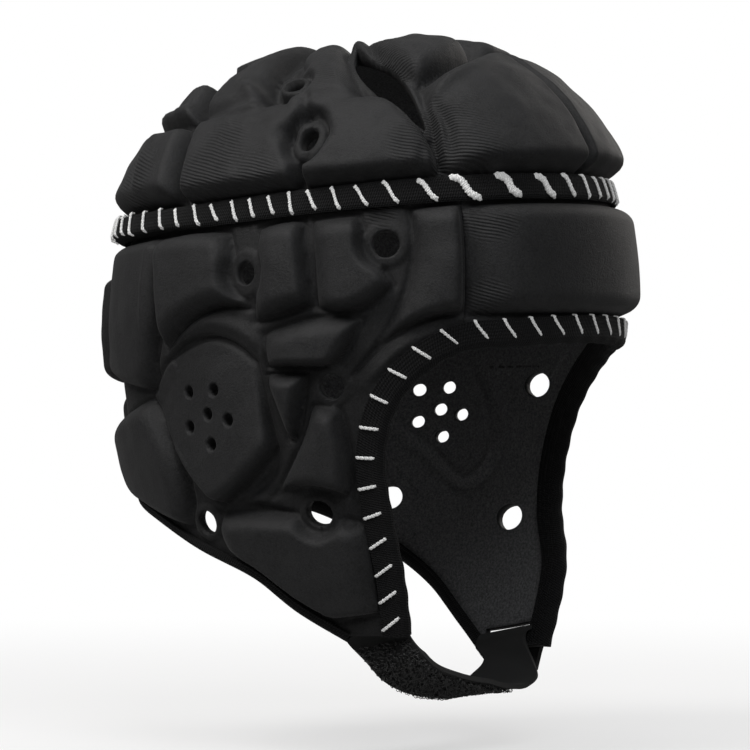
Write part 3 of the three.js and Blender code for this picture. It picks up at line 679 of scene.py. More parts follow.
def edit(piece, *steps):
    """Runs edit mode operators on all of a piece, or on the faces that are selected in it."""
    choose(piece)
    bpy.ops.object.mode_set(mode="EDIT")
    for step, settings in steps:
        step(**settings)
    bpy.ops.object.mode_set(mode="OBJECT")


def weld(piece, gap=1e-5):
    edit(piece, SELECT_ALL, (bpy.ops.mesh.remove_doubles, {"threshold": gap}))


def delete_faces(piece, doomed):
    bpy.context.tool_settings.mesh_select_mode = (False, False, True)
    for part in (piece.data.vertices, piece.data.edges):
        part.foreach_set("select", np.zeros(len(part), bool))
    piece.data.polygons.foreach_set("select", doomed)
    edit(piece, (bpy.ops.mesh.delete, {"type": "FACE"}))


def write_uv(piece, places):
    """A UV map in metres, one place for each point."""
    corners = np.zeros(len(piece.data.loops), int)
    piece.data.loops.foreach_get("vertex_index", corners)
    layer = piece.data.uv_layers.new(name="cloth")
    layer.data.foreach_set("uv", np.asarray(places, np.float32)[corners].ravel())


def write_attribute(piece, name, values):
    attribute = piece.data.attributes.new(name, "FLOAT", "POINT")
    attribute.data.foreach_set("value", np.asarray(values, np.float32))


def smooth(piece, angle=None):
    choose(piece)
    if angle is None:
        bpy.ops.object.shade_smooth()
    else:
        bpy.ops.object.shade_smooth_by_angle(angle=math.radians(angle))


def declare(piece, nodes):
    """Hangs a finished piece on the root body and hides the solids that it stands for."""
    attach(piece, "root")
    if nodes:
        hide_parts(*nodes)


def sizes():
    return bpy.context.scene.head_guard_sizes


def paint():
    return bpy.context.scene.head_guard_colours


# Skins of the padded panels

class Place:
    """A flat frame that touches the head at one point of the chart."""

    def __init__(self, around, height):
        self.centre = head_points(np.array(around, float), np.array(height, float))
        self.normal = head_normals(np.array(around, float), np.array(height, float))
        upright = abs(self.normal[2]) < 0.99
        self.right = unit(np.cross([0, 0, 1.0], self.normal) if upright else np.array([1.0, 0, 0]))
        self.up = np.cross(self.normal, self.right)

    def flat(self, points):
        away = points - self.centre
        return np.stack([away @ self.right, away @ self.up], axis=-1)

    def spread(self, flat):
        return flat[..., :1] * self.right + flat[..., 1:] * self.up


def line_distance(flat, line, reach=400):
    """Signed distance of flat points from a line whose ends run on, with the direction in which it grows."""
    starts, ends = line[:-1].copy(), line[1:].copy()
    starts[0] += unit(starts[0] - ends[0]) * reach
    ends[-1] += unit(ends[-1] - starts[-1]) * reach
    best = np.full(len(flat), np.inf)
    signed = np.zeros(len(flat))
    inward = np.zeros((len(flat), 2))
    for start, end in zip(starts, ends):
        step = end - start
        share = np.clip((flat - start) @ step / (step @ step), 0, 1)
        gap = np.linalg.norm(flat - start - share[:, None] * step, axis=1)
        left = unit(np.array([-step[1], step[0]]))
        closer = gap < best - 1e-9
        best = np.where(closer, gap, best)
        signed = np.where(closer, np.sign((flat - start) @ left) * gap, signed)
        inward = np.where(closer[:, None], left, inward)
    return signed, inward


def loop_depth(flat, loop):
    """How deep flat points lie inside a convex loop, with the way in."""
    edges = np.roll(loop, -1, axis=0) - loop
    ways = unit(np.stack([-edges[:, 1], edges[:, 0]], axis=-1))
    ways *= np.sign(((loop.mean(axis=0) - loop) * ways).sum(axis=1))[:, None]
    depths = flat @ ways.T - (loop * ways).sum(axis=1)
    nearest = depths.argmin(axis=1)
    return depths.min(axis=1), ways[nearest]


def vent_place(vent, side):
    around, height = vent.right if side > 0 else vent.left
    return Place(side * around, height)


def vent_size(vent, side):
    return vent.right_size if side > 0 else vent.left_size


def slit_loop(slit, steps=16):
    """The outline of a slit, on a flat frame at its middle."""
    shares = np.linspace(0, 1, steps)
    chart = bowed(slit.low, slit.high, (slit.bend, 0))(shares)
    place = Place(*chart[steps // 2])
    middle = place.flat(head_points(chart[:, 0], chart[:, 1]))
    along = unit(np.gradient(middle, axis=0))
    half_widths = slit.half_width * np.sin(math.pi * shares)
    out = np.stack([-along[:, 1], along[:, 0]], axis=-1) * half_widths[:, None]
    return place, np.vstack([middle + out, (middle - out)[-2:0:-1]])


def shoulder(depth, width):
    """Rise of a pad's rounded edge, from 0 at its foot to 1 at its width."""
    share = np.clip(depth / (width * SHOULDER_REACH), 0, 1)
    return 1 - (1 - share) ** SHOULDER_POWER


class Skin:
    """A panel's cloth: a grid laid on the head form, lifted by the foam under it."""

    def __init__(self, name, grid, chart):
        self.piece, across, down = add_grid(name, grid)
        self.grid = grid
        self.down = down
        self.around, self.height = np.moveaxis(chart(across, down), -1, 0)
        self.points = head_points(self.around, self.height)
        self.normals = head_normals(self.around, self.height)
        self.lift = np.full(len(self.points), float(WALL))
        self.lining = np.zeros(len(self.points))
        self.fullness = np.zeros(len(self.points))
        self.holes = []

    def near(self, place, reach):
        return np.flatnonzero(np.linalg.norm(self.points - place.centre, axis=1) < reach)

    def pad_depths(self, pad, side):
        """For the points near a pad: their distances inside its four sides, and the ways in."""
        corners = np.array([pad.upper_front, pad.upper_rear, pad.lower_rear, pad.lower_front], float)
        corners[:, 0] *= side
        place = Place(*corners.mean(axis=0))
        bows = [(0, pad.bow[0]), (side * pad.bow[1], 0), (0, -pad.bow[2]), (-side * pad.bow[3], 0)]
        shares = np.linspace(0, 1, PAD_SIDE_STEPS)
        lines = []
        for i, bow in enumerate(bows):
            chart = bowed(corners[i], corners[(i + 1) % 4], bow)(shares)
            lines.append(place.flat(head_points(chart[:, 0], chart[:, 1])))
        reach = max(np.linalg.norm(line, axis=1).max() for line in lines) + PAD_MARGIN
        near = self.near(place, reach)
        flat = place.flat(self.points[near])
        depths, ways = zip(*(line_distance(flat, line) for line in lines))
        signs = [np.sign(line_distance(np.zeros((1, 2)), line)[0][0]) for line in lines]
        depths = np.stack([depth * sign for depth, sign in zip(depths, signs)], axis=1)
        ways = np.stack([way * sign for way, sign in zip(ways, signs)], axis=1)
        return place, near, depths, ways

    def settle_on_outlines(self, pads):
        """Slides the points beside a pad's outline onto it, so that the pad's foot is a clean line."""
        for pad, side in pads:
            place, near, depths, ways = self.pad_depths(pad, side)
            nearest = depths.argmin(axis=1)
            rows = np.arange(len(near))
            depth = depths[rows, nearest]
            beside = np.abs(depth) < CELL / 2
            shift = place.spread(-depth[:, None] * ways[rows, nearest])
            self.points[near[beside]] += shift[beside]

    def ring_distance(self, vent, side, margin):
        """The points near a vent, with how far outside its hole they lie, in its ring's eye shape."""
        place = vent_place(vent, side)
        wide, tall = vent_size(vent, side)
        near = self.near(place, (max(wide, tall) + vent.ring + margin) * vent.stretch + RING_MARGIN)
        flat = place.flat(self.points[near])
        return near, (np.hypot(flat[:, 0] / wide, flat[:, 1] / (tall * vent.stretch)) - 1) * wide

    def slit_distance(self, slit):
        """The points near a slit, with how far outside it they lie."""
        place, loop = slit_loop(slit)
        near = self.near(place, np.linalg.norm(loop, axis=1).max() + SLIT_ROLL + SLIT_MARGIN)
        return near, -loop_depth(place.flat(self.points[near]), loop)[0]

    def room(self, vents, slits):
        """How full the foam may be at each point: none at the vents' rings, and less along the slits."""
        room = np.ones(len(self.points))
        for vent, side in vents:
            near, away = self.ring_distance(vent, side, RING_MOAT)
            room[near] *= shoulder(away - vent.ring, RING_MOAT)
        for slit in slits:
            near, away = self.slit_distance(slit)
            room[near] *= SLIT_RIM + (1 - SLIT_RIM) * shoulder(away, SLIT_ROLL)
        return room

    def lower_edge_room(self):
        """How full the foam may be beside the lower edge, where a binding is folded over the cloth."""
        edge = self.points[self.down > 1 - 0.5 / self.grid.rows]
        squares = (self.points ** 2).sum(axis=1)[:, None] + (edge ** 2).sum(axis=1) - 2 * self.points @ edge.T
        return smooth_ramp(np.sqrt(np.maximum(squares.min(axis=1), 0)), *JAW_EDGE_CLEAR)

    def raise_pads(self, pads, vents=(), slits=(), bound_below=False):
        """Lifts the cloth over its pads, which meet in creases and stay clear of vents and bindings."""
        self.settle_on_outlines(pads)
        room = self.room(vents, slits)
        if bound_below:
            room *= self.lower_edge_room()
        foam = np.zeros(len(self.points))
        crease = np.zeros(len(self.points))
        for pad, side in pads:
            _, near, depths, _ = self.pad_depths(pad, side)
            full = np.prod([shoulder(depths[:, i], pad.soft[i]) for i in range(4)], axis=0)
            fall = np.clip(depths[:, 0], 0, None)
            share = fall / np.maximum(fall + np.clip(depths[:, 2], 0, None), 1e-6)
            rise = PAD_GAP + pad.top_rise + (pad.rise - pad.top_rise) * share
            if pad.top_rise < 0:
                foam[near] += (rise - foam[near]) * full
            else:
                foam[near] = np.maximum(foam[near], rise * full)
            crease[near] = np.maximum(crease[near], np.exp(-((depths.min(axis=1) / PAD_CREASE_WIDTH) ** 2)))
            self.fullness[near] = np.maximum(self.fullness[near], full)
        crease *= 1 - smooth_ramp(foam, *CREASE_FADE)
        self.lift += foam * room - PAD_CREASE * crease * room
        self.fullness *= room
        for vent, side in vents:
            near, away = self.ring_distance(vent, side, RING_MOAT)
            outside = smooth_ramp(away, vent.ring * RING_FLAT_SHARE, vent.ring + RING_EDGE)
            self.lift[near] += vent.base * (1 - outside)
        for slit in slits:
            near, away = self.slit_distance(slit)
            self.lift[near] += SLIT_LIP * np.exp(-(((away - SLIT_LIP_WIDTH) / SLIT_LIP_WIDTH) ** 2))

    def open_vents(self, vents, sides=40):
        for vent, side in vents:
            turns = np.linspace(0, 2 * math.pi, sides, endpoint=False)
            loop = np.stack([np.cos(turns), np.sin(turns)], axis=-1) * vent_size(vent, side)
            self.holes.append((vent_place(vent, side), loop))

    def open_slot(self, start, end, half_height, side):
        ends = np.array([start, end], float)
        place = Place(side * ends[:, 0].mean(), ends[:, 1].mean())
        rim = np.array([[*ends[0], 1], [*ends[1], 1], [*ends[1], -1], [*ends[0], -1]])
        corners = head_points(side * rim[:, 0], rim[:, 1] + half_height * rim[:, 2])
        self.holes.append((place, place.flat(corners)))

    def press(self, sheet, creases, side, shift=0):
        """Presses creases into the outer cloth's lift or into the lining's."""
        shares = np.linspace(0, 1, CREASE_STEPS)
        for crease in creases:
            chart = smooth_edge(np.array(crease.line) + [shift, 0])(shares) * [side, 1]
            place = Place(*chart[CREASE_STEPS // 2])
            line = place.flat(head_points(chart[:, 0], chart[:, 1]))
            near = self.near(place, np.linalg.norm(line, axis=1).max() + CREASE_REACH * crease.width)
            flat = place.flat(self.points[near])
            gaps = line_distance(flat, line, reach=0)[0]
            along = np.linalg.norm(flat[:, None] - line[None], axis=2).argmin(axis=1) / (len(line) - 1)
            taper = np.sin(math.pi * np.clip(along, CREASE_END_SHARE, 1 - CREASE_END_SHARE)) ** 0.5
            sheet[near] -= crease.depth * taper * np.exp(-((gaps / crease.width) ** 2))

    def blur(self):
        """Rounds the cloth's edges off by averaging each lift with its neighbours'."""
        lift = np.pad(self.lift.reshape(self.grid.rows + 1, self.grid.columns + 1), 1, mode="edge")
        rounded = (lift[:-2, 1:-1] + lift[2:, 1:-1] + lift[1:-1, :-2] + lift[1:-1, 2:]) / 4
        self.lift = (0.5 * lift[1:-1, 1:-1] + 0.5 * rounded).ravel()

    def ripple(self, ripples):
        """Slow unevenness of the foam under the cloth."""
        for depth, scale in ripples:
            self.lift += depth * np.array([noise.noise(Vector(point / scale)) for point in self.points])

    def rib_shares(self):
        """How strongly the knit's ribs show at each point."""
        shares = np.zeros(len(self.points))
        for patch in RIB_PATCHES:
            for side in SIDES.values():
                place = Place(side * patch.around, patch.height)
                gaps = np.linalg.norm(self.points - place.centre, axis=1)
                shares = np.maximum(shares, np.exp(-((gaps / patch.radius) ** 2)))
        return shares

    def doomed_faces(self, corners):
        """The faces inside the holes. The points on a hole's edge are moved onto its outline."""
        doomed = np.zeros(len(corners), bool)
        for place, loop in self.holes:
            near = np.zeros(len(self.points), bool)
            near[self.near(place, np.linalg.norm(loop, axis=1).max() + HOLE_MARGIN)] = True
            flat = place.flat(self.points)
            inside = near[corners].all(axis=1)
            inside[inside] = loop_depth(flat[corners[inside]].mean(axis=1), loop)[0] > 0
            rim = np.intersect1d(corners[inside], corners[near[corners].all(axis=1) & ~inside])
            depth, ways = loop_depth(flat[rim], loop)
            self.points[rim] -= place.spread(depth[:, None] * ways)
            doomed |= inside
        return doomed

    def finish(self, outside, inside):
        """Cuts the holes, gives the cloth its lining and returns the piece."""
        piece = self.piece
        corners = np.zeros(len(piece.data.loops), int)
        piece.data.loops.foreach_get("vertex_index", corners)
        corners = corners.reshape(-1, 4)
        doomed = self.doomed_faces(corners)
        self.lift = np.maximum(self.lift, self.lining + LEAST_WALL)
        outer = (self.points + self.normals * self.lift[:, None]) * MM
        inner = (self.points + self.normals * self.lining[:, None]) * MM
        move_points(piece, outer)
        face_outwards(piece, self.normals)
        kept = np.arange(len(outer))
        if doomed.any():
            delete_faces(piece, doomed)
            kept = np.unique(corners[~doomed])
        piece.data.materials.append(outside)
        piece.data.materials.append(inside)
        apply_modifier(
            piece, "SOLIDIFY", thickness=WALL * MM, offset=-1, material_offset=1, material_offset_rim=0,
        )
        first_half = points_of(piece)[: len(kept)]
        layers = [outer[kept], inner[kept]]
        layers.sort(key=lambda layer: np.linalg.norm(first_half - layer, axis=1).mean())
        move_points(piece, np.vstack(layers))
        cloth = np.stack([self.around * DEGREE_ARC, self.height], axis=-1)[kept] * MM
        write_uv(piece, np.vstack([cloth, cloth]))
        # The foam's fullness, which the pad cloth's finish uses to paint shade into the grooves between the
        # pads
        write_attribute(piece, "fullness", np.tile(self.fullness[kept], 2))
        write_attribute(piece, "ribs", np.tile(self.rib_shares()[kept], 2))
        smooth(piece)
        return piece


def both_sides(features):
    return [(feature, side) for side in SIDES.values() for feature in features]


# Finishes

class Value:
    """A socket in a material's node tree, on which Python's operators add Math nodes."""

    def __init__(self, finish, socket):
        self.finish = finish
        self.socket = socket

    def math(self, operation, first, second=0.0):
        return self.finish.node("ShaderNodeMath", {"operation": operation}, {0: first, 1: second})

    def __add__(self, other):
        return self.math("ADD", self, other)

    __radd__ = __add__

    def __sub__(self, other):
        return self.math("SUBTRACT", self, other)

    def __mul__(self, other):
        return self.math("MULTIPLY", self, other)

    __rmul__ = __mul__

    def wave(self, pitch):
        """Runs from -1 to 1 and back once in each pitch."""
        return self.math("SINE", self * (2 * math.pi / pitch))

    def between(self, low, high):
        """0 below low, 1 above high and smooth between them."""
        return self.finish.node(
            "ShaderNodeMapRange", {"interpolation_type": "SMOOTHSTEP"},
            {0: self, 1: low, 2: high, 3: 0.0, 4: 1.0},
        )


class Nodes:
    """A node tree that grows by expressions."""

    def __init__(self, tree):
        self.tree = tree

    def node(self, kind, settings=None, inputs=None, output=0):
        made = self.tree.nodes.new(kind)
        for name, value in (settings or {}).items():
            setattr(made, name, value)
        for name, value in (inputs or {}).items():
            self.feed(made.inputs[name], value)
        return Value(self, made.outputs[output])

    def feed(self, socket, value):
        """Links a value to a socket, or sets a plain number or colour on it."""
        if isinstance(value, Value):
            self.tree.links.new(value.socket, socket)
        else:
            socket.default_value = value


class Finish(Nodes):
    """A material with its Principled shader."""

    def __init__(self, name):
        self.material = bpy.data.materials.new(name)
        self.material.use_nodes = True
        super().__init__(self.material.node_tree)
        self.shader = self.tree.nodes["Principled BSDF"]

    def cloth_places(self):
        """The length and height of the place on the cloth, in metres."""
        place = self.node("ShaderNodeUVMap", {"uv_map": "cloth"})
        return [self.node("ShaderNodeSeparateXYZ", None, {0: place}, axis) for axis in (0, 1)]

    def cloud(self, scale, detail=2.0, rough=0.5):
        """Noise over the object, with its features about one over scale metres apart."""
        place = self.node("ShaderNodeTexCoord", None, None, "Object")
        return self.node(
            "ShaderNodeTexNoise", None,
            {"Vector": place, "Scale": scale, "Detail": detail, "Roughness": rough},
        )

    def blend(self, share, first, second):
        return self.node(
            "ShaderNodeMix", {"data_type": "RGBA"}, {0: share, 6: (*first, 1), 7: (*second, 1)}, 2,
        )

    def set(self, **sockets):
        for name, value in sockets.items():
            self.feed(self.shader.inputs[name.replace("_", " ").title().replace("Ior", "IOR")], value)
        return self

    def relief(self, height, depth):
        """Raises the surface by height, where 1 is depth metres."""
        bump = self.node("ShaderNodeBump", None, {"Strength": 1.0, "Distance": depth, "Height": height})
        return self.set(normal=bump)


def shade(colour, factor):
    return tuple(channel * factor for channel in colour)


def pad_knit():
    """Satin knit stretched over foam: fine grain, ribs that show in patches, and painted shade in the grooves
    between the pads.
    """
    finish = Finish("pad_knit")
    along, up = finish.cloth_places()
    slant = up * RIB_WAY_UP - along * RIB_WAY_BACK
    ribs = (slant + finish.cloud(40.0) * 0.0028).wave(sizes().rib_pitch)
    shown = finish.node("ShaderNodeAttribute", {"attribute_name": "ribs"}, None, "Fac").between(0.2, 0.8)
    grain = finish.cloud(1300.0, 3.0, 0.8)
    slubs = finish.cloud(420.0, 2.0, 0.6)
    # Painted shade: the foam's fullness makes the cloth lighter over the pads and darker in the grooves
    # between them
    full = finish.node("ShaderNodeAttribute", {"attribute_name": "fullness"}, None, "Fac")
    tone = (full * 0.12 + finish.cloud(60.0) * 0.25 + grain + slubs * 0.3).between(0.5, 1.1)
    colour = paint().pad
    finish.set(
        base_color=finish.blend(tone, shade(colour, 0.4), shade(colour, 1.8)),
        roughness=0.52 + grain * 0.2,
        sheen_weight=0.06,
        sheen_roughness=0.4,
        specular_ior_level=0.28,
    )
    finish.relief(ribs * shown * 0.5 + grain + slubs * 0.3, 0.00025)
    return finish.material


def lining_knit():
    """Matte knit of the inside."""
    finish = Finish("lining_knit")
    grain = finish.cloud(1100.0, 3.0, 0.8)
    colour = paint().lining
    finish.set(
        base_color=finish.blend(grain.between(0.3, 0.75), shade(colour, 0.5), shade(colour, 1.6)),
        roughness=0.8,
        sheen_weight=0.05,
        specular_ior_level=0.25,
    )
    return finish.relief(grain, 0.0003).material


def woven_tape():
    """Black woven tape with fine cross ribs and a twill slant."""
    finish = Finish("woven_tape")
    along, across = finish.cloth_places()
    ribs = (along + across * 0.35 + finish.cloud(200.0) * 0.0004).wave(TAPE_RIB_PITCH)
    cords = (across + finish.cloud(150.0) * 0.0003).wave(TAPE_CORD_PITCH)
    grain = finish.cloud(1600.0, 2.0, 0.7)
    colour = paint().tape
    tone = (ribs * 0.25 + grain).between(0.25, 0.9)
    finish.set(
        base_color=finish.blend(tone, shade(colour, 0.55), shade(colour, 1.9)),
        roughness=0.75 + grain * 0.2,
        sheen_weight=0.03,
        specular_ior_level=0.18,
    )
    return finish.relief(ribs * 0.5 + cords * 0.3 + grain * 0.5, 0.00025).material


def white_thread():
    """Twisted white thread, darker in the grooves of its twist, with painted light: it glows a little."""
    finish = Finish("white_thread")
    along, round_it = finish.cloth_places()
    twist = (along + round_it * 0.8).wave(THREAD_PITCH)
    grain = finish.cloud(1400.0, 2.0, 0.7)
    colour = paint().thread
    tone = (twist * 0.3 + grain).between(0.1, 0.8)
    finish.set(
        base_color=finish.blend(tone, shade(colour, 0.8), shade(colour, 1.05)),
        roughness=0.6 + grain * 0.2,
        sheen_weight=0.2,
        # Painted light: the thread glows a little, so that it stays bright white where the lamps leave it
        # grey
        emission_color=(*colour, 1),
        emission_strength=0.12,
    )
    return finish.relief(twist * 0.6 + grain * 0.4, 0.0002).material


def strap_webbing():
    """Soft black webbing with a brushed nap."""
    finish = Finish("strap_webbing")
    along, across = finish.cloth_places()
    weave = along.wave(WEBBING_PITCH) * across.wave(WEBBING_PITCH)
    nap = finish.cloud(900.0, 4.0, 0.8)
    colour = paint().strap
    tone = (weave * 0.2 + nap).between(0.3, 0.85)
    finish.set(
        base_color=finish.blend(tone, shade(colour, 0.5), shade(colour, 3.0)),
        roughness=0.75 + nap * 0.2,
        sheen_weight=0.1,
        sheen_roughness=0.5,
        specular_ior_level=0.3,
    )
    return finish.relief(weave * 0.35 + nap, 0.0005).material


def pile_loops():
    """Shiny black filament of the looped pile."""
    finish = Finish("pile_loops")
    grain = finish.cloud(700.0, 2.0, 0.6)
    colour = paint().pile
    finish.set(
        base_color=finish.blend(grain.between(0.35, 0.7), shade(colour, 0.5), shade(colour, 1.8)),
        roughness=0.18 + grain * 0.2,
        specular_ior_level=0.8,
    )
    return finish.material


def finish_named(make):
    """Each finish is made once, and pieces share it."""
    return bpy.data.materials.get(make.__name__) or make()


# Tapes and threads

def cell_of(shares, cells):
    """The number of the grid line at each share."""
    return np.rint(shares * cells).astype(int)


def tape_grid(name, grid, place, outward, thickness, material, closed=False):
    """A tape from a flat grid: place gives each point in millimetres from its shares along and across."""
    piece, along, across = add_grid(name, grid)
    points = place(along, across)
    move_points(piece, points * MM)
    face_outwards(piece, outward(along, across))
    rows = points.reshape(grid.rows + 1, grid.columns + 1, 3)
    run = np.cumsum(np.linalg.norm(np.diff(rows, axis=1, prepend=rows[:, :1]), axis=2).mean(axis=0))
    width = np.cumsum(np.linalg.norm(np.diff(rows, axis=0, prepend=rows[:1]), axis=2).mean(axis=1))
    uv = np.stack(np.meshgrid(run, width), axis=-1).reshape(-1, 2) * MM
    write_uv(piece, uv)
    piece.data.materials.append(material)
    if closed:
        weld(piece)
    apply_modifier(piece, "SOLIDIFY", thickness=thickness * MM, offset=-1, use_even_offset=True)
    smooth(piece, TAPE_SHARP_ANGLE)
    return piece


def band_lift(around):
    """The band's lift off the head. At the back it rides up over the thick pads beside it."""
    from_brow = np.abs((np.asarray(around, float) + 180) % 360 - 180)
    return BAND_LIFT + BAND_REAR_LIFT * smooth_ramp(from_brow, BAND_REAR_FROM, BAND_REAR_TO)


def band_stitch_places():
    """Degrees round the head of the band's stitches, further apart over the right brow."""
    random.seed(11)
    places, around = [], BAND_FIRST_STITCH
    while around < 180:
        places.append(around)
        gap = sizes().band_spacing / MM * np.interp(around, *zip(*BAND_SPACINGS))
        around += gap * random.uniform(*BAND_SPACING_SPREAD) / DEGREE_ARC
    return np.array(places)


def binding_frames(edge, count):
    """Places along an edge with the head's normal, and the way out of the cloth there, by arc length."""
    fine = np.linspace(0, 1, EDGE_STEPS)
    chart = edge(fine)
    points = head_points(chart[:, 0], chart[:, 1])
    run = np.concatenate([[0], np.cumsum(np.linalg.norm(np.diff(points, axis=0), axis=1))])
    chart = edge(np.interp(np.linspace(0, run[-1], count), run, fine))
    points = head_points(chart[:, 0], chart[:, 1])
    normals = head_normals(chart[:, 0], chart[:, 1])
    along = unit(np.gradient(points, axis=0))
    return points, normals, unit(np.cross(along, normals)), run[-1]


def folded_binding(name, edge, legs, puff_pitch, material):
    """A tape folded over a panel's edge, a little fuller between its stitches."""
    grid = BINDING_GRID
    thick = sizes().tape_thickness / MM
    points, normals, out, run = binding_frames(edge, grid.columns + 1)
    fold = WALL / 2 + BINDING_CLEAR + thick
    section = binding_section(legs, fold, grid.rows + 1)
    puff = np.zeros(len(points))
    if puff_pitch:
        puff = BINDING_PUFF * np.sin(math.pi * np.linspace(0, run, len(points)) / puff_pitch) ** 2

    def place(along, across):
        column, row = cell_of(along, grid.columns), cell_of(across, grid.rows)
        offset = section[row]
        full = (puff[column] * np.sin(math.pi * across))[:, None]
        lean = unit(offset - [0, WALL / 2])
        offset = offset + lean * full
        return points[column] + out[column] * offset[:, :1] + normals[column] * offset[:, 1:]

    def outward(along, across):
        column, row = cell_of(along, grid.columns), cell_of(across, grid.rows)
        lean = section[row] - [-legs[0], WALL / 2]
        return out[column] * lean[:, :1] + normals[column] * lean[:, 1:]

    return tape_grid(name, grid, place, outward, thick, material)


def binding_section(legs, fold, count):
    """Points of a folded tape's outer face, as (out, lift) pairs from outer leg to inner leg."""
    turn = math.pi * fold
    total = legs[0] + turn + legs[1]
    run = np.linspace(0, total, count)
    angle = np.clip((run - legs[0]) / fold, 0, math.pi)
    outer, inner = run < legs[0], run > legs[0] + turn
    out = np.where(outer, run - legs[0], np.where(inner, legs[0] + turn - run, fold * np.sin(angle)))
    ribs = np.where(inner, BINDING_RIB * np.cos(2 * math.pi * (run - total) / BINDING_RIB_PITCH), 0)
    lift = WALL / 2 + fold * np.cos(angle) - ribs
    return np.stack([out, lift], axis=-1)


def thread_mesh(paths, width, height, sides=7):
    """Vertices, faces and UVs of flattened threads, from paths of points, normals and fatnesses."""
    vertices, faces, places = [], [], []
    turns = np.linspace(0, 2 * math.pi, sides, endpoint=False)
    for points, normals, fat in paths:
        along = unit(np.gradient(points, axis=0))
        aside = unit(np.cross(along, normals))
        run = np.concatenate([[0], np.cumsum(np.linalg.norm(np.diff(points, axis=0), axis=1))])
        first = len(vertices) * sides
        for i, point in enumerate(points):
            ring = aside[i] * np.cos(turns)[:, None] * width * fat[i] / 2
            vertices.append(point + ring + normals[i] * np.sin(turns)[:, None] * height * fat[i] / 2)
            places.append(np.stack([np.full(sides, run[i]), turns * width / 4], axis=-1))
        for i in range(len(points) - 1):
            for k in range(sides):
                a, b = first + i * sides + k, first + i * sides + (k + 1) % sides
                faces.append((a, b, b + sides, a + sides))
        last = first + (len(points) - 1) * sides
        faces.append(tuple(range(first + sides - 1, first - 1, -1)))
        faces.append(tuple(range(last, last + sides)))
    return np.vstack(vertices), faces, np.vstack(places)


def mesh_piece(name, vertices, faces, material):
    mesh = bpy.data.meshes.new(name)
    mesh.from_pydata((vertices * MM).tolist(), [], faces)
    piece = bpy.data.objects.new(name, mesh)
    bpy.context.scene.collection.objects.link(piece)
    mesh.materials.append(material)
    return piece


def joined_threads(name, paths, width, height, material):
    vertices, faces, places = thread_mesh(paths, width, height)
    piece = mesh_piece(name, vertices, faces, material)
    write_uv(piece, places * MM)
    edit(piece, SELECT_ALL, (bpy.ops.mesh.normals_make_consistent, {"inside": False}))
    smooth(piece, THREAD_SHARP_ANGLE)
    return piece


def stitch(corners, normal, bow, bold=1, steps=15):
    """A stitch along its corners that dives into the cloth at both ends, as a twisted pair of strands."""
    share = np.linspace(0, 1, steps)
    points = smooth_edge(corners)(share)
    sink = np.minimum(share, 1 - share) / STITCH_END_SHARE
    dive = np.where(sink < 1, (1 - sink) ** 2, 0)
    points = points + normal * (bow * np.sin(math.pi * share) - STITCH_DIVE * dive)[:, None]
    fat = bold * (STITCH_END_FATNESS + (1 - STITCH_END_FATNESS) * np.clip(sink, 0, 1))
    aside = unit(np.cross(np.gradient(points, axis=0), normal))
    run = np.concatenate([[0], np.cumsum(np.linalg.norm(np.diff(points, axis=0), axis=1))])
    strands = []
    for start in (0, math.pi):
        turn = start + 2 * math.pi * run / TWIST_PITCH
        sideways = aside * (STRAND_GAP * fat * np.cos(turn))[:, None]
        upwards = normal * (STRAND_GAP / 2 * np.sin(turn))[:, None]
        strands.append((points + (sideways + upwards), np.broadcast_to(normal, points.shape), fat))
    return strands


# Chin strap

def strap_stations():
    """The strap's middle points and widthways directions, from inside the right flap out of the left slot."""
    def on_flap(side, height, lift):
        def beside(way):
            return on_head(side * (STRAP_AROUND + way * STRAP_SLANT[0]), height - way * STRAP_SLANT[1], lift)

        return on_head(side * STRAP_AROUND, height, lift), unit(beside(1) - beside(-1))

    slot_height = (SLOT_FROM[1] + SLOT_TO[1]) / 2 - SLOT_STRAP_DROP
    width = sizes().strap_width / MM
    stations = [on_flap(1, height, STRAP_LIFT) for height in STRAP_END_HEIGHTS]
    for sag in STRAP_SAG:
        stations.append((np.array([sag.x, STRAP_MIDDLE_Y, sag.z]), unit(np.array([0, width, -sag.tilt]))))
    stations += [on_flap(-1, slot_height - drop, lift) for drop, lift in SLOT_PASS]
    return [np.array(column, float) for column in zip(*stations)]


def strap_frames(count):
    """Middle points, widthways and outward directions along the strap."""
    middles, widthways = strap_stations()
    shares = np.linspace(0, 1, count)
    middle = smooth_edge(middles)(shares)
    across = unit(smooth_edge(widthways)(shares))
    along = unit(np.gradient(middle, axis=0))
    return middle, across, unit(np.cross(across, along))


# Operators

class HeadGuardOperator:
    bl_options = {"REGISTER", "UNDO"}


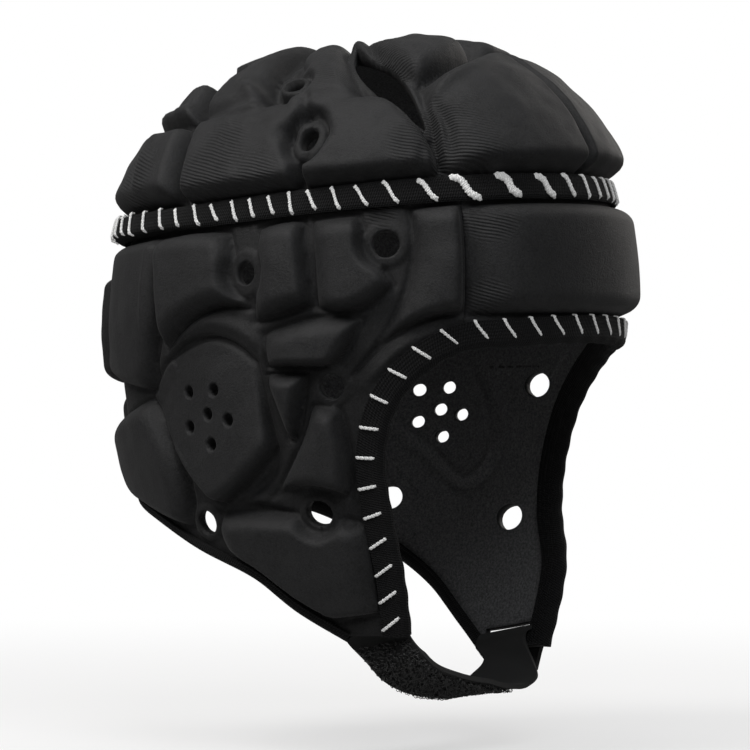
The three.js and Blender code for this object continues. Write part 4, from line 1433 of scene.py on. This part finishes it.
class HEADGUARD_OT_stage(HeadGuardOperator, bpy.types.Operator):
    """Adds the pale floor, the soft lights and the camera"""
    bl_idname = "head_guard.stage"
    bl_label = "Stage"

    def execute(self, context):
        stage = context.scene.head_guard_stage
        self.add_floor(stage)
        self.add_world(context.scene, stage)
        self.add_lights(stage)
        self.add_camera(context.scene, stage)
        context.scene.view_settings.view_transform = "Standard"
        return {"FINISHED"}

    def add_floor(self, stage):
        deselect_all()
        level = CAD_BOX[0].z - stage.floor_gap
        bpy.ops.mesh.primitive_circle_add(
            vertices=96, radius=FLOOR_RADIUS, fill_type="NGON", location=(0, 0, level),
        )
        floor = bpy.context.object
        floor.name = "floor"
        finish = Finish("pale_floor")
        place = finish.node("ShaderNodeTexCoord", None, None, "Object")
        away = finish.node("ShaderNodeVectorMath", {"operation": "LENGTH"}, {0: place}, "Value")
        far = away.between(*FLOOR_FADE)
        seen = finish.node("ShaderNodeLightPath", None, None, "Is Camera Ray")
        finish.set(
            base_color=finish.blend(far, shade(stage.floor, FLOOR_BOUNCE), (0, 0, 0)),
            emission_color=finish.blend((1 - FLOOR_BOUNCE + far * FLOOR_BOUNCE) * seen, (0, 0, 0), (1, 1, 1)),
            emission_strength=1,
            roughness=0.9,
            specular_ior_level=0,
        )
        floor.data.materials.append(finish.material)

    def add_world(self, scene, stage):
        """White where the camera sees it, and dimmer as a light."""
        world = bpy.data.worlds.new("studio")
        scene.world = world
        world.use_nodes = True
        nodes = Nodes(world.node_tree)
        background = world.node_tree.nodes["Background"]
        background.inputs["Color"].default_value = (1, 1, 1, 1)
        seen = nodes.node("ShaderNodeLightPath", None, None, "Is Camera Ray")
        nodes.feed(background.inputs["Strength"], seen * (1 - stage.ambient) + stage.ambient)

    def add_lights(self, stage):
        aim = Vector((0, 0, stage.aim_height))
        for lamp in LAMPS:
            light = bpy.data.lights.new(lamp.name, "AREA")
            light.size = lamp.size
            light.energy = lamp.watts
            light.color = lamp.colour
            piece = bpy.data.objects.new(lamp.name, light)
            bpy.context.scene.collection.objects.link(piece)
            turn, climb = math.radians(lamp.azimuth), math.radians(lamp.elevation)
            back = Vector((
                math.sin(turn) * math.cos(climb), -math.cos(turn) * math.cos(climb), math.sin(climb),
            ))
            piece.location = aim + back * lamp.distance
            piece.rotation_euler = (-back).to_track_quat("-Z", "Y").to_euler()

    def add_camera(self, scene, stage):
        back = Vector((math.sin(stage.azimuth), -math.cos(stage.azimuth), 0))
        right = Vector((math.cos(stage.azimuth), math.sin(stage.azimuth), 0))
        camera = bpy.data.objects.new("camera", bpy.data.cameras.new("camera"))
        scene.collection.objects.link(camera)
        camera.data.lens = stage.lens
        camera.location = right * stage.aim_aside + Vector((0, 0, stage.aim_height)) + back * stage.distance
        camera.rotation_euler = (-back).to_track_quat("-Z", "Y").to_euler()
        scene.camera = camera


class HEADGUARD_OT_crown(HeadGuardOperator, bpy.types.Operator):
    """Makes the padded crown with its slits and vents"""
    bl_idname = "head_guard.crown"
    bl_label = "Crown"

    def execute(self, context):
        skin = Skin("crown_skin", CROWN_GRID, self.chart)
        pads = both_sides(CROWN_PADS + CROWN_SWELLS)
        vents = both_sides(CROWN_VENTS)
        skin.raise_pads(pads, vents, CROWN_SLITS)
        for side in SIDES.values():
            skin.press(skin.lift, CROWN_CREASES, side)
        skin.blur()
        skin.ripple(CROWN_RIPPLES)
        skin.open_vents(vents)
        skin.holes += [slit_loop(slit) for slit in CROWN_SLITS]
        piece = skin.finish(finish_named(pad_knit), finish_named(lining_knit))
        nodes = [f"{word}_{pad.name}" for word in SIDES for pad in CROWN_PADS]
        declare(piece, ["crown_shell", *nodes])
        return {"FINISHED"}

    @staticmethod
    def chart(across, down):
        """Wraps the square grid onto the dome without a pole: rings of the grid become rings of the crown."""
        a, b = 2 * across - 1, 2 * down - 1
        wide = np.abs(a) > np.abs(b)
        ring = np.where(wide, a, b)
        other = np.where(wide, b, a)
        slant = math.pi / 4 * np.divide(other, ring, out=np.zeros_like(ring), where=np.abs(ring) > 1e-9)
        turn = np.where(wide, slant, math.pi / 2 - slant) + np.where(ring < 0, math.pi, 0)
        height = CROWN_MERIDIAN - np.abs(ring) * (CROWN_MERIDIAN - CROWN_SEAM)
        return np.stack([np.degrees(turn), height], axis=-1)


class HEADGUARD_OT_sides(HeadGuardOperator, bpy.types.Operator):
    """Makes the two side panels with their pads, vents and ear holes"""
    bl_idname = "head_guard.sides"
    bl_label = "Side panels"

    def execute(self, context):
        for word, side in SIDES.items():
            self.make_side(word, side)
        return {"FINISHED"}

    def make_side(self, word, side):
        patch = side_patch(side)

        def chart(across, down):
            return patch(across, down) * [side, 1]

        skin = Skin(f"{word}_side_skin", SIDE_GRID, chart)
        pads = [(self.on_side(pad, side), side) for pad in SIDE_PADS + SIDE_SWELLS]
        vents = [(vent, side) for vent in SIDE_VENTS]
        skin.raise_pads(pads, vents, bound_below=True)
        skin.press(skin.lift, SIDE_CREASES, side)
        skin.press(skin.lining, LINING_CREASES, side, LEFT_EAR_SHIFT if side < 0 else 0)
        skin.blur()
        skin.ripple(SIDE_RIPPLES)
        skin.open_vents(vents + [(vent, side) for vent in EAR_VENTS])
        if side < 0:
            skin.open_slot(SLOT_FROM, SLOT_TO, SLOT_HALF_HEIGHT, side)
        piece = skin.finish(finish_named(pad_knit), finish_named(lining_knit))
        nodes = [f"{word}_{pad.name}" for pad in SIDE_PADS]
        declare(piece, [f"{word}_side_panel", *nodes])

    @staticmethod
    def on_side(pad, side):
        """Some pads of the left side differ: the jaw pad starts lower, and the ear pad is flat."""
        return pad._replace(**LEFT_PADS.get(pad.name, {})) if side < 0 else pad


class HEADGUARD_OT_brow(HeadGuardOperator, bpy.types.Operator):
    """Makes the padded brow"""
    bl_idname = "head_guard.brow"
    bl_label = "Brow"

    def execute(self, context):
        skin = Skin("brow_skin", BROW_GRID, self.chart)
        skin.raise_pads([(pad, 1) for pad in BROW_PADS])
        for side in SIDES.values():
            skin.press(skin.lift, BROW_CREASES, side)
        skin.blur()
        skin.ripple(BROW_RIPPLES)
        piece = skin.finish(finish_named(pad_knit), finish_named(lining_knit))
        declare(piece, ["brow_panel", "brow_pad"])
        return {"FINISHED"}

    @staticmethod
    def chart(across, down):
        around = BROW_JOINT * (2 * across - 1)
        return np.stack([around, CROWN_SEAM + (brow_edge(around) - CROWN_SEAM) * down], axis=-1)


class HEADGUARD_OT_back(HeadGuardOperator, bpy.types.Operator):
    """Makes the padded back"""
    bl_idname = "head_guard.back"
    bl_label = "Back"

    def execute(self, context):
        skin = Skin("back_skin", BACK_GRID, self.chart)
        skin.raise_pads([(pad, 1) for pad in BACK_PADS + BACK_SWELLS], bound_below=True)
        skin.blur()
        skin.ripple(BACK_RIPPLES)
        piece = skin.finish(finish_named(pad_knit), finish_named(lining_knit))
        declare(piece, ["back_panel", "back_upper_pad", "back_lower_pad"])
        return {"FINISHED"}

    @staticmethod
    def chart(across, down):
        around = BACK_JOINT + (360 - 2 * BACK_JOINT) * across
        return np.stack([around, CROWN_SEAM + (NAPE_EDGE - CROWN_SEAM) * down], axis=-1)


class HEADGUARD_OT_tapes(HeadGuardOperator, bpy.types.Operator):
    """Makes the crown band and the bindings of the face and jaw edges"""
    bl_idname = "head_guard.tapes"
    bl_label = "Band and bindings"

    def execute(self, context):
        tape = finish_named(woven_tape)
        declare(self.make_band(tape), ["crown_band"])
        spacing = sizes().face_spacing / MM
        face = folded_binding("face_tape", face_edge_path(), FACE_BINDING_LEGS, spacing, tape)
        declare(face, ["face_binding"])
        jaw = folded_binding("jaw_tape", jaw_edge_path(), JAW_BINDING_LEGS, 0, tape)
        declare(jaw, ["jaw_binding"])
        return {"FINISHED"}

    def make_band(self, tape):
        width, thick = sizes().band_width / MM, sizes().tape_thickness / MM
        stitches = band_stitch_places()

        def place(along, across):
            around = 360 * along
            gaps = (180 - np.abs((around[:, None] - stitches) % 360 - 180)).min(axis=1) * DEGREE_ARC
            pinch = BAND_PINCH * np.exp(-((gaps / BAND_PINCH_WIDTH) ** 2))
            flatness = 1 - (2 * across - 1) ** BAND_FLATNESS_POWER
            swell = (band_lift(around) - BAND_LIFT + BAND_SWELL) * flatness - pinch
            return on_head(around, CROWN_SEAM + width * (across - 0.5), BAND_LIFT + thick + swell)

        def outward(along, across):
            return head_normals(360 * along, np.full(len(along), float(CROWN_SEAM)))

        return tape_grid("crown_tape", BAND_GRID, place, outward, thick, tape, closed=True)


class HEADGUARD_OT_stitches(HeadGuardOperator, bpy.types.Operator):
    """Sews the white stitches over the band and the face binding"""
    bl_idname = "head_guard.stitches"
    bl_label = "Stitches"

    def execute(self, context):
        width, height = sizes().thread_width / MM, sizes().thread_height / MM
        thread = finish_named(white_thread)
        band = joined_threads("band_stitches", self.band_paths(), width, height, thread)
        face = joined_threads("face_stitches", self.face_paths(), width, height, thread)
        declare(band, [])
        declare(face, [])
        return {"FINISHED"}

    def band_paths(self):
        random.seed(23)
        half = sizes().band_width / MM * BAND_STITCH_REACH
        thick = sizes().tape_thickness / MM
        paths = []
        for around in band_stitch_places():
            bold = np.interp(around, *zip(*BAND_BOLDNESS))
            slant = np.interp(around, *zip(*BAND_SLANTS)) * random.uniform(*BAND_SLANT_SPREAD) / DEGREE_ARC
            hook = (bold - 1) * random.uniform(*BAND_HOOK_SPREAD) / DEGREE_ARC
            top = CROWN_SEAM + half * random.uniform(*BAND_TOP_SPREAD)
            foot = CROWN_SEAM - half * random.uniform(*BAND_FOOT_SPREAD)
            lift = float(band_lift(around)) + thick + BAND_STITCH_LIFT
            turns = np.array([slant / 2 + hook, slant / 4, -slant / 4, -slant / 2 - hook]) + around
            heights = np.array([top, top - BAND_STITCH_TURN, foot + BAND_STITCH_TURN, foot])
            normal = head_normals(np.array(around), np.array(float(CROWN_SEAM)))
            paths += stitch(on_head(turns, heights, np.full(4, lift)), normal, BAND_STITCH_BOW, bold)
        return paths

    def face_paths(self):
        random.seed(31)
        thick = sizes().tape_thickness / MM
        lift = WALL + BINDING_CLEAR + thick + FACE_STITCH_LIFT
        spacing = sizes().face_spacing / MM
        run = binding_frames(face_edge_path(), 2)[3]
        count = int(run // spacing)
        points, normals, out, _ = binding_frames(face_edge_path(), 2 * count + 1)
        along = unit(np.gradient(points, axis=0))
        paths = []
        for k in range(1, 2 * count, 2):
            share = k / (2 * count)
            from_tip = min(share, 1 - share)
            slant = np.interp(from_tip, *zip(*FACE_SLANTS)) + random.uniform(*FACE_SLANT_SPREAD)
            hook = FACE_HOOK * float(smooth_ramp(from_tip, FACE_HOOK_FROM, FACE_HOOK_TO))
            base = points[k] + normals[k] * lift
            inset = FACE_BINDING_LEGS[0] + FACE_STITCH_PAST_LEG
            start = base - out[k] * inset - along[k] * slant / 2
            bend = start + out[k] * hook + along[k] * hook * FACE_HOOK_LEAN
            end = base + out[k] * FACE_STITCH_PAST_EDGE + along[k] * slant / 2
            corners = [start, bend, end] if hook > LEAST_HOOK else [start, end]
            paths += stitch(corners, normals[k], FACE_STITCH_BOW, FACE_STITCH_BOLDNESS)
        return paths


class HEADGUARD_OT_strap(HeadGuardOperator, bpy.types.Operator):
    """Makes the chin strap and the looped pile on it"""
    bl_idname = "head_guard.strap"
    bl_label = "Chin strap"

    def execute(self, context):
        declare(self.make_strap(), ["chin_strap"])
        declare(self.make_pile(), ["strap_pile"])
        return {"FINISHED"}

    def make_strap(self):
        grid = STRAP_GRID
        middle, across_way, face = strap_frames(grid.columns + 1)
        width, thick = sizes().strap_width / MM, sizes().strap_thickness / MM

        def place(along, across):
            column = cell_of(along, grid.columns)
            offset = width * (across - 0.5)
            return middle[column] + across_way[column] * offset[:, None] + face[column] * (thick / 2)

        def outward(along, across):
            return face[cell_of(along, grid.columns)]

        return tape_grid("strap", grid, place, outward, thick, finish_named(strap_webbing))

    def make_pile(self):
        random.seed(47)
        middle, across_way, face = strap_frames(PILE_STATIONS)
        width, thick = sizes().strap_width / MM, sizes().strap_thickness / MM
        tall = sizes().loop_height / MM
        along_way = unit(np.gradient(middle, axis=0))
        paths = []
        across_loop, up_loop = np.cos(PILE_TURNS), np.sin(PILE_TURNS)
        first, last = int(PILE_STATIONS * PILE_FROM), int(PILE_STATIONS * PILE_TO)
        for _ in range(PILE_LOOPS):
            k = random.randint(first, last)
            aside = width * random.uniform(*PILE_ASIDE_SPREAD)
            foot = middle[k] + across_way[k] * aside + face[k] * (thick / 2)
            heading = random.uniform(0, math.pi)
            lean = along_way[k] * math.cos(heading) + across_way[k] * math.sin(heading)
            size = tall * random.uniform(*PILE_SIZE_SPREAD)
            rise = size * PILE_CENTRE_RISE + up_loop * size
            loop = foot + lean * (across_loop * size)[:, None] + face[k] * rise[:, None]
            paths.append((loop, np.broadcast_to(np.cross(lean, face[k]), loop.shape), np.ones(len(loop))))
        vertices, faces, _ = thread_mesh(paths, PILE_THREAD, PILE_THREAD, sides=4)
        piece = mesh_piece("strap_loops", vertices, faces, finish_named(pile_loops))
        smooth(piece)
        return piece


class HEADGUARD_PT_panel(bpy.types.Panel):
    bl_idname = "HEADGUARD_PT_panel"
    bl_label = "Head Guard"
    bl_space_type = "VIEW_3D"
    bl_region_type = "UI"
    bl_category = "Head Guard"

    def draw(self, context):
        for operator in OPERATORS:
            self.layout.operator(operator.bl_idname)
        for group in GROUPS:
            box = self.layout.box()
            for name in group.__annotations__:
                box.prop(getattr(context.scene, GROUPS[group]), name)


OPERATORS = [
    HEADGUARD_OT_stage, HEADGUARD_OT_crown, HEADGUARD_OT_sides, HEADGUARD_OT_brow, HEADGUARD_OT_back,
    HEADGUARD_OT_tapes, HEADGUARD_OT_stitches, HEADGUARD_OT_strap,
]
GROUPS = {
    HeadGuardSizes: "head_guard_sizes",
    HeadGuardColours: "head_guard_colours",
    HeadGuardStage: "head_guard_stage",
}


def register():
    for group, name in GROUPS.items():
        bpy.utils.register_class(group)
        setattr(bpy.types.Scene, name, PointerProperty(type=group))
    for operator in [*OPERATORS, HEADGUARD_PT_panel]:
        bpy.utils.register_class(operator)


def unregister():
    for operator in [HEADGUARD_PT_panel, *reversed(OPERATORS)]:
        bpy.utils.unregister_class(operator)
    for group, name in GROUPS.items():
        delattr(bpy.types.Scene, name)
        bpy.utils.unregister_class(group)


def main():
    register()
    bpy.ops.head_guard.stage()
    bpy.ops.head_guard.crown()
    bpy.ops.head_guard.sides()
    bpy.ops.head_guard.brow()
    bpy.ops.head_guard.back()
    bpy.ops.head_guard.tapes()
    bpy.ops.head_guard.stitches()
    bpy.ops.head_guard.strap()


if __name__ == "__main__":
    main()
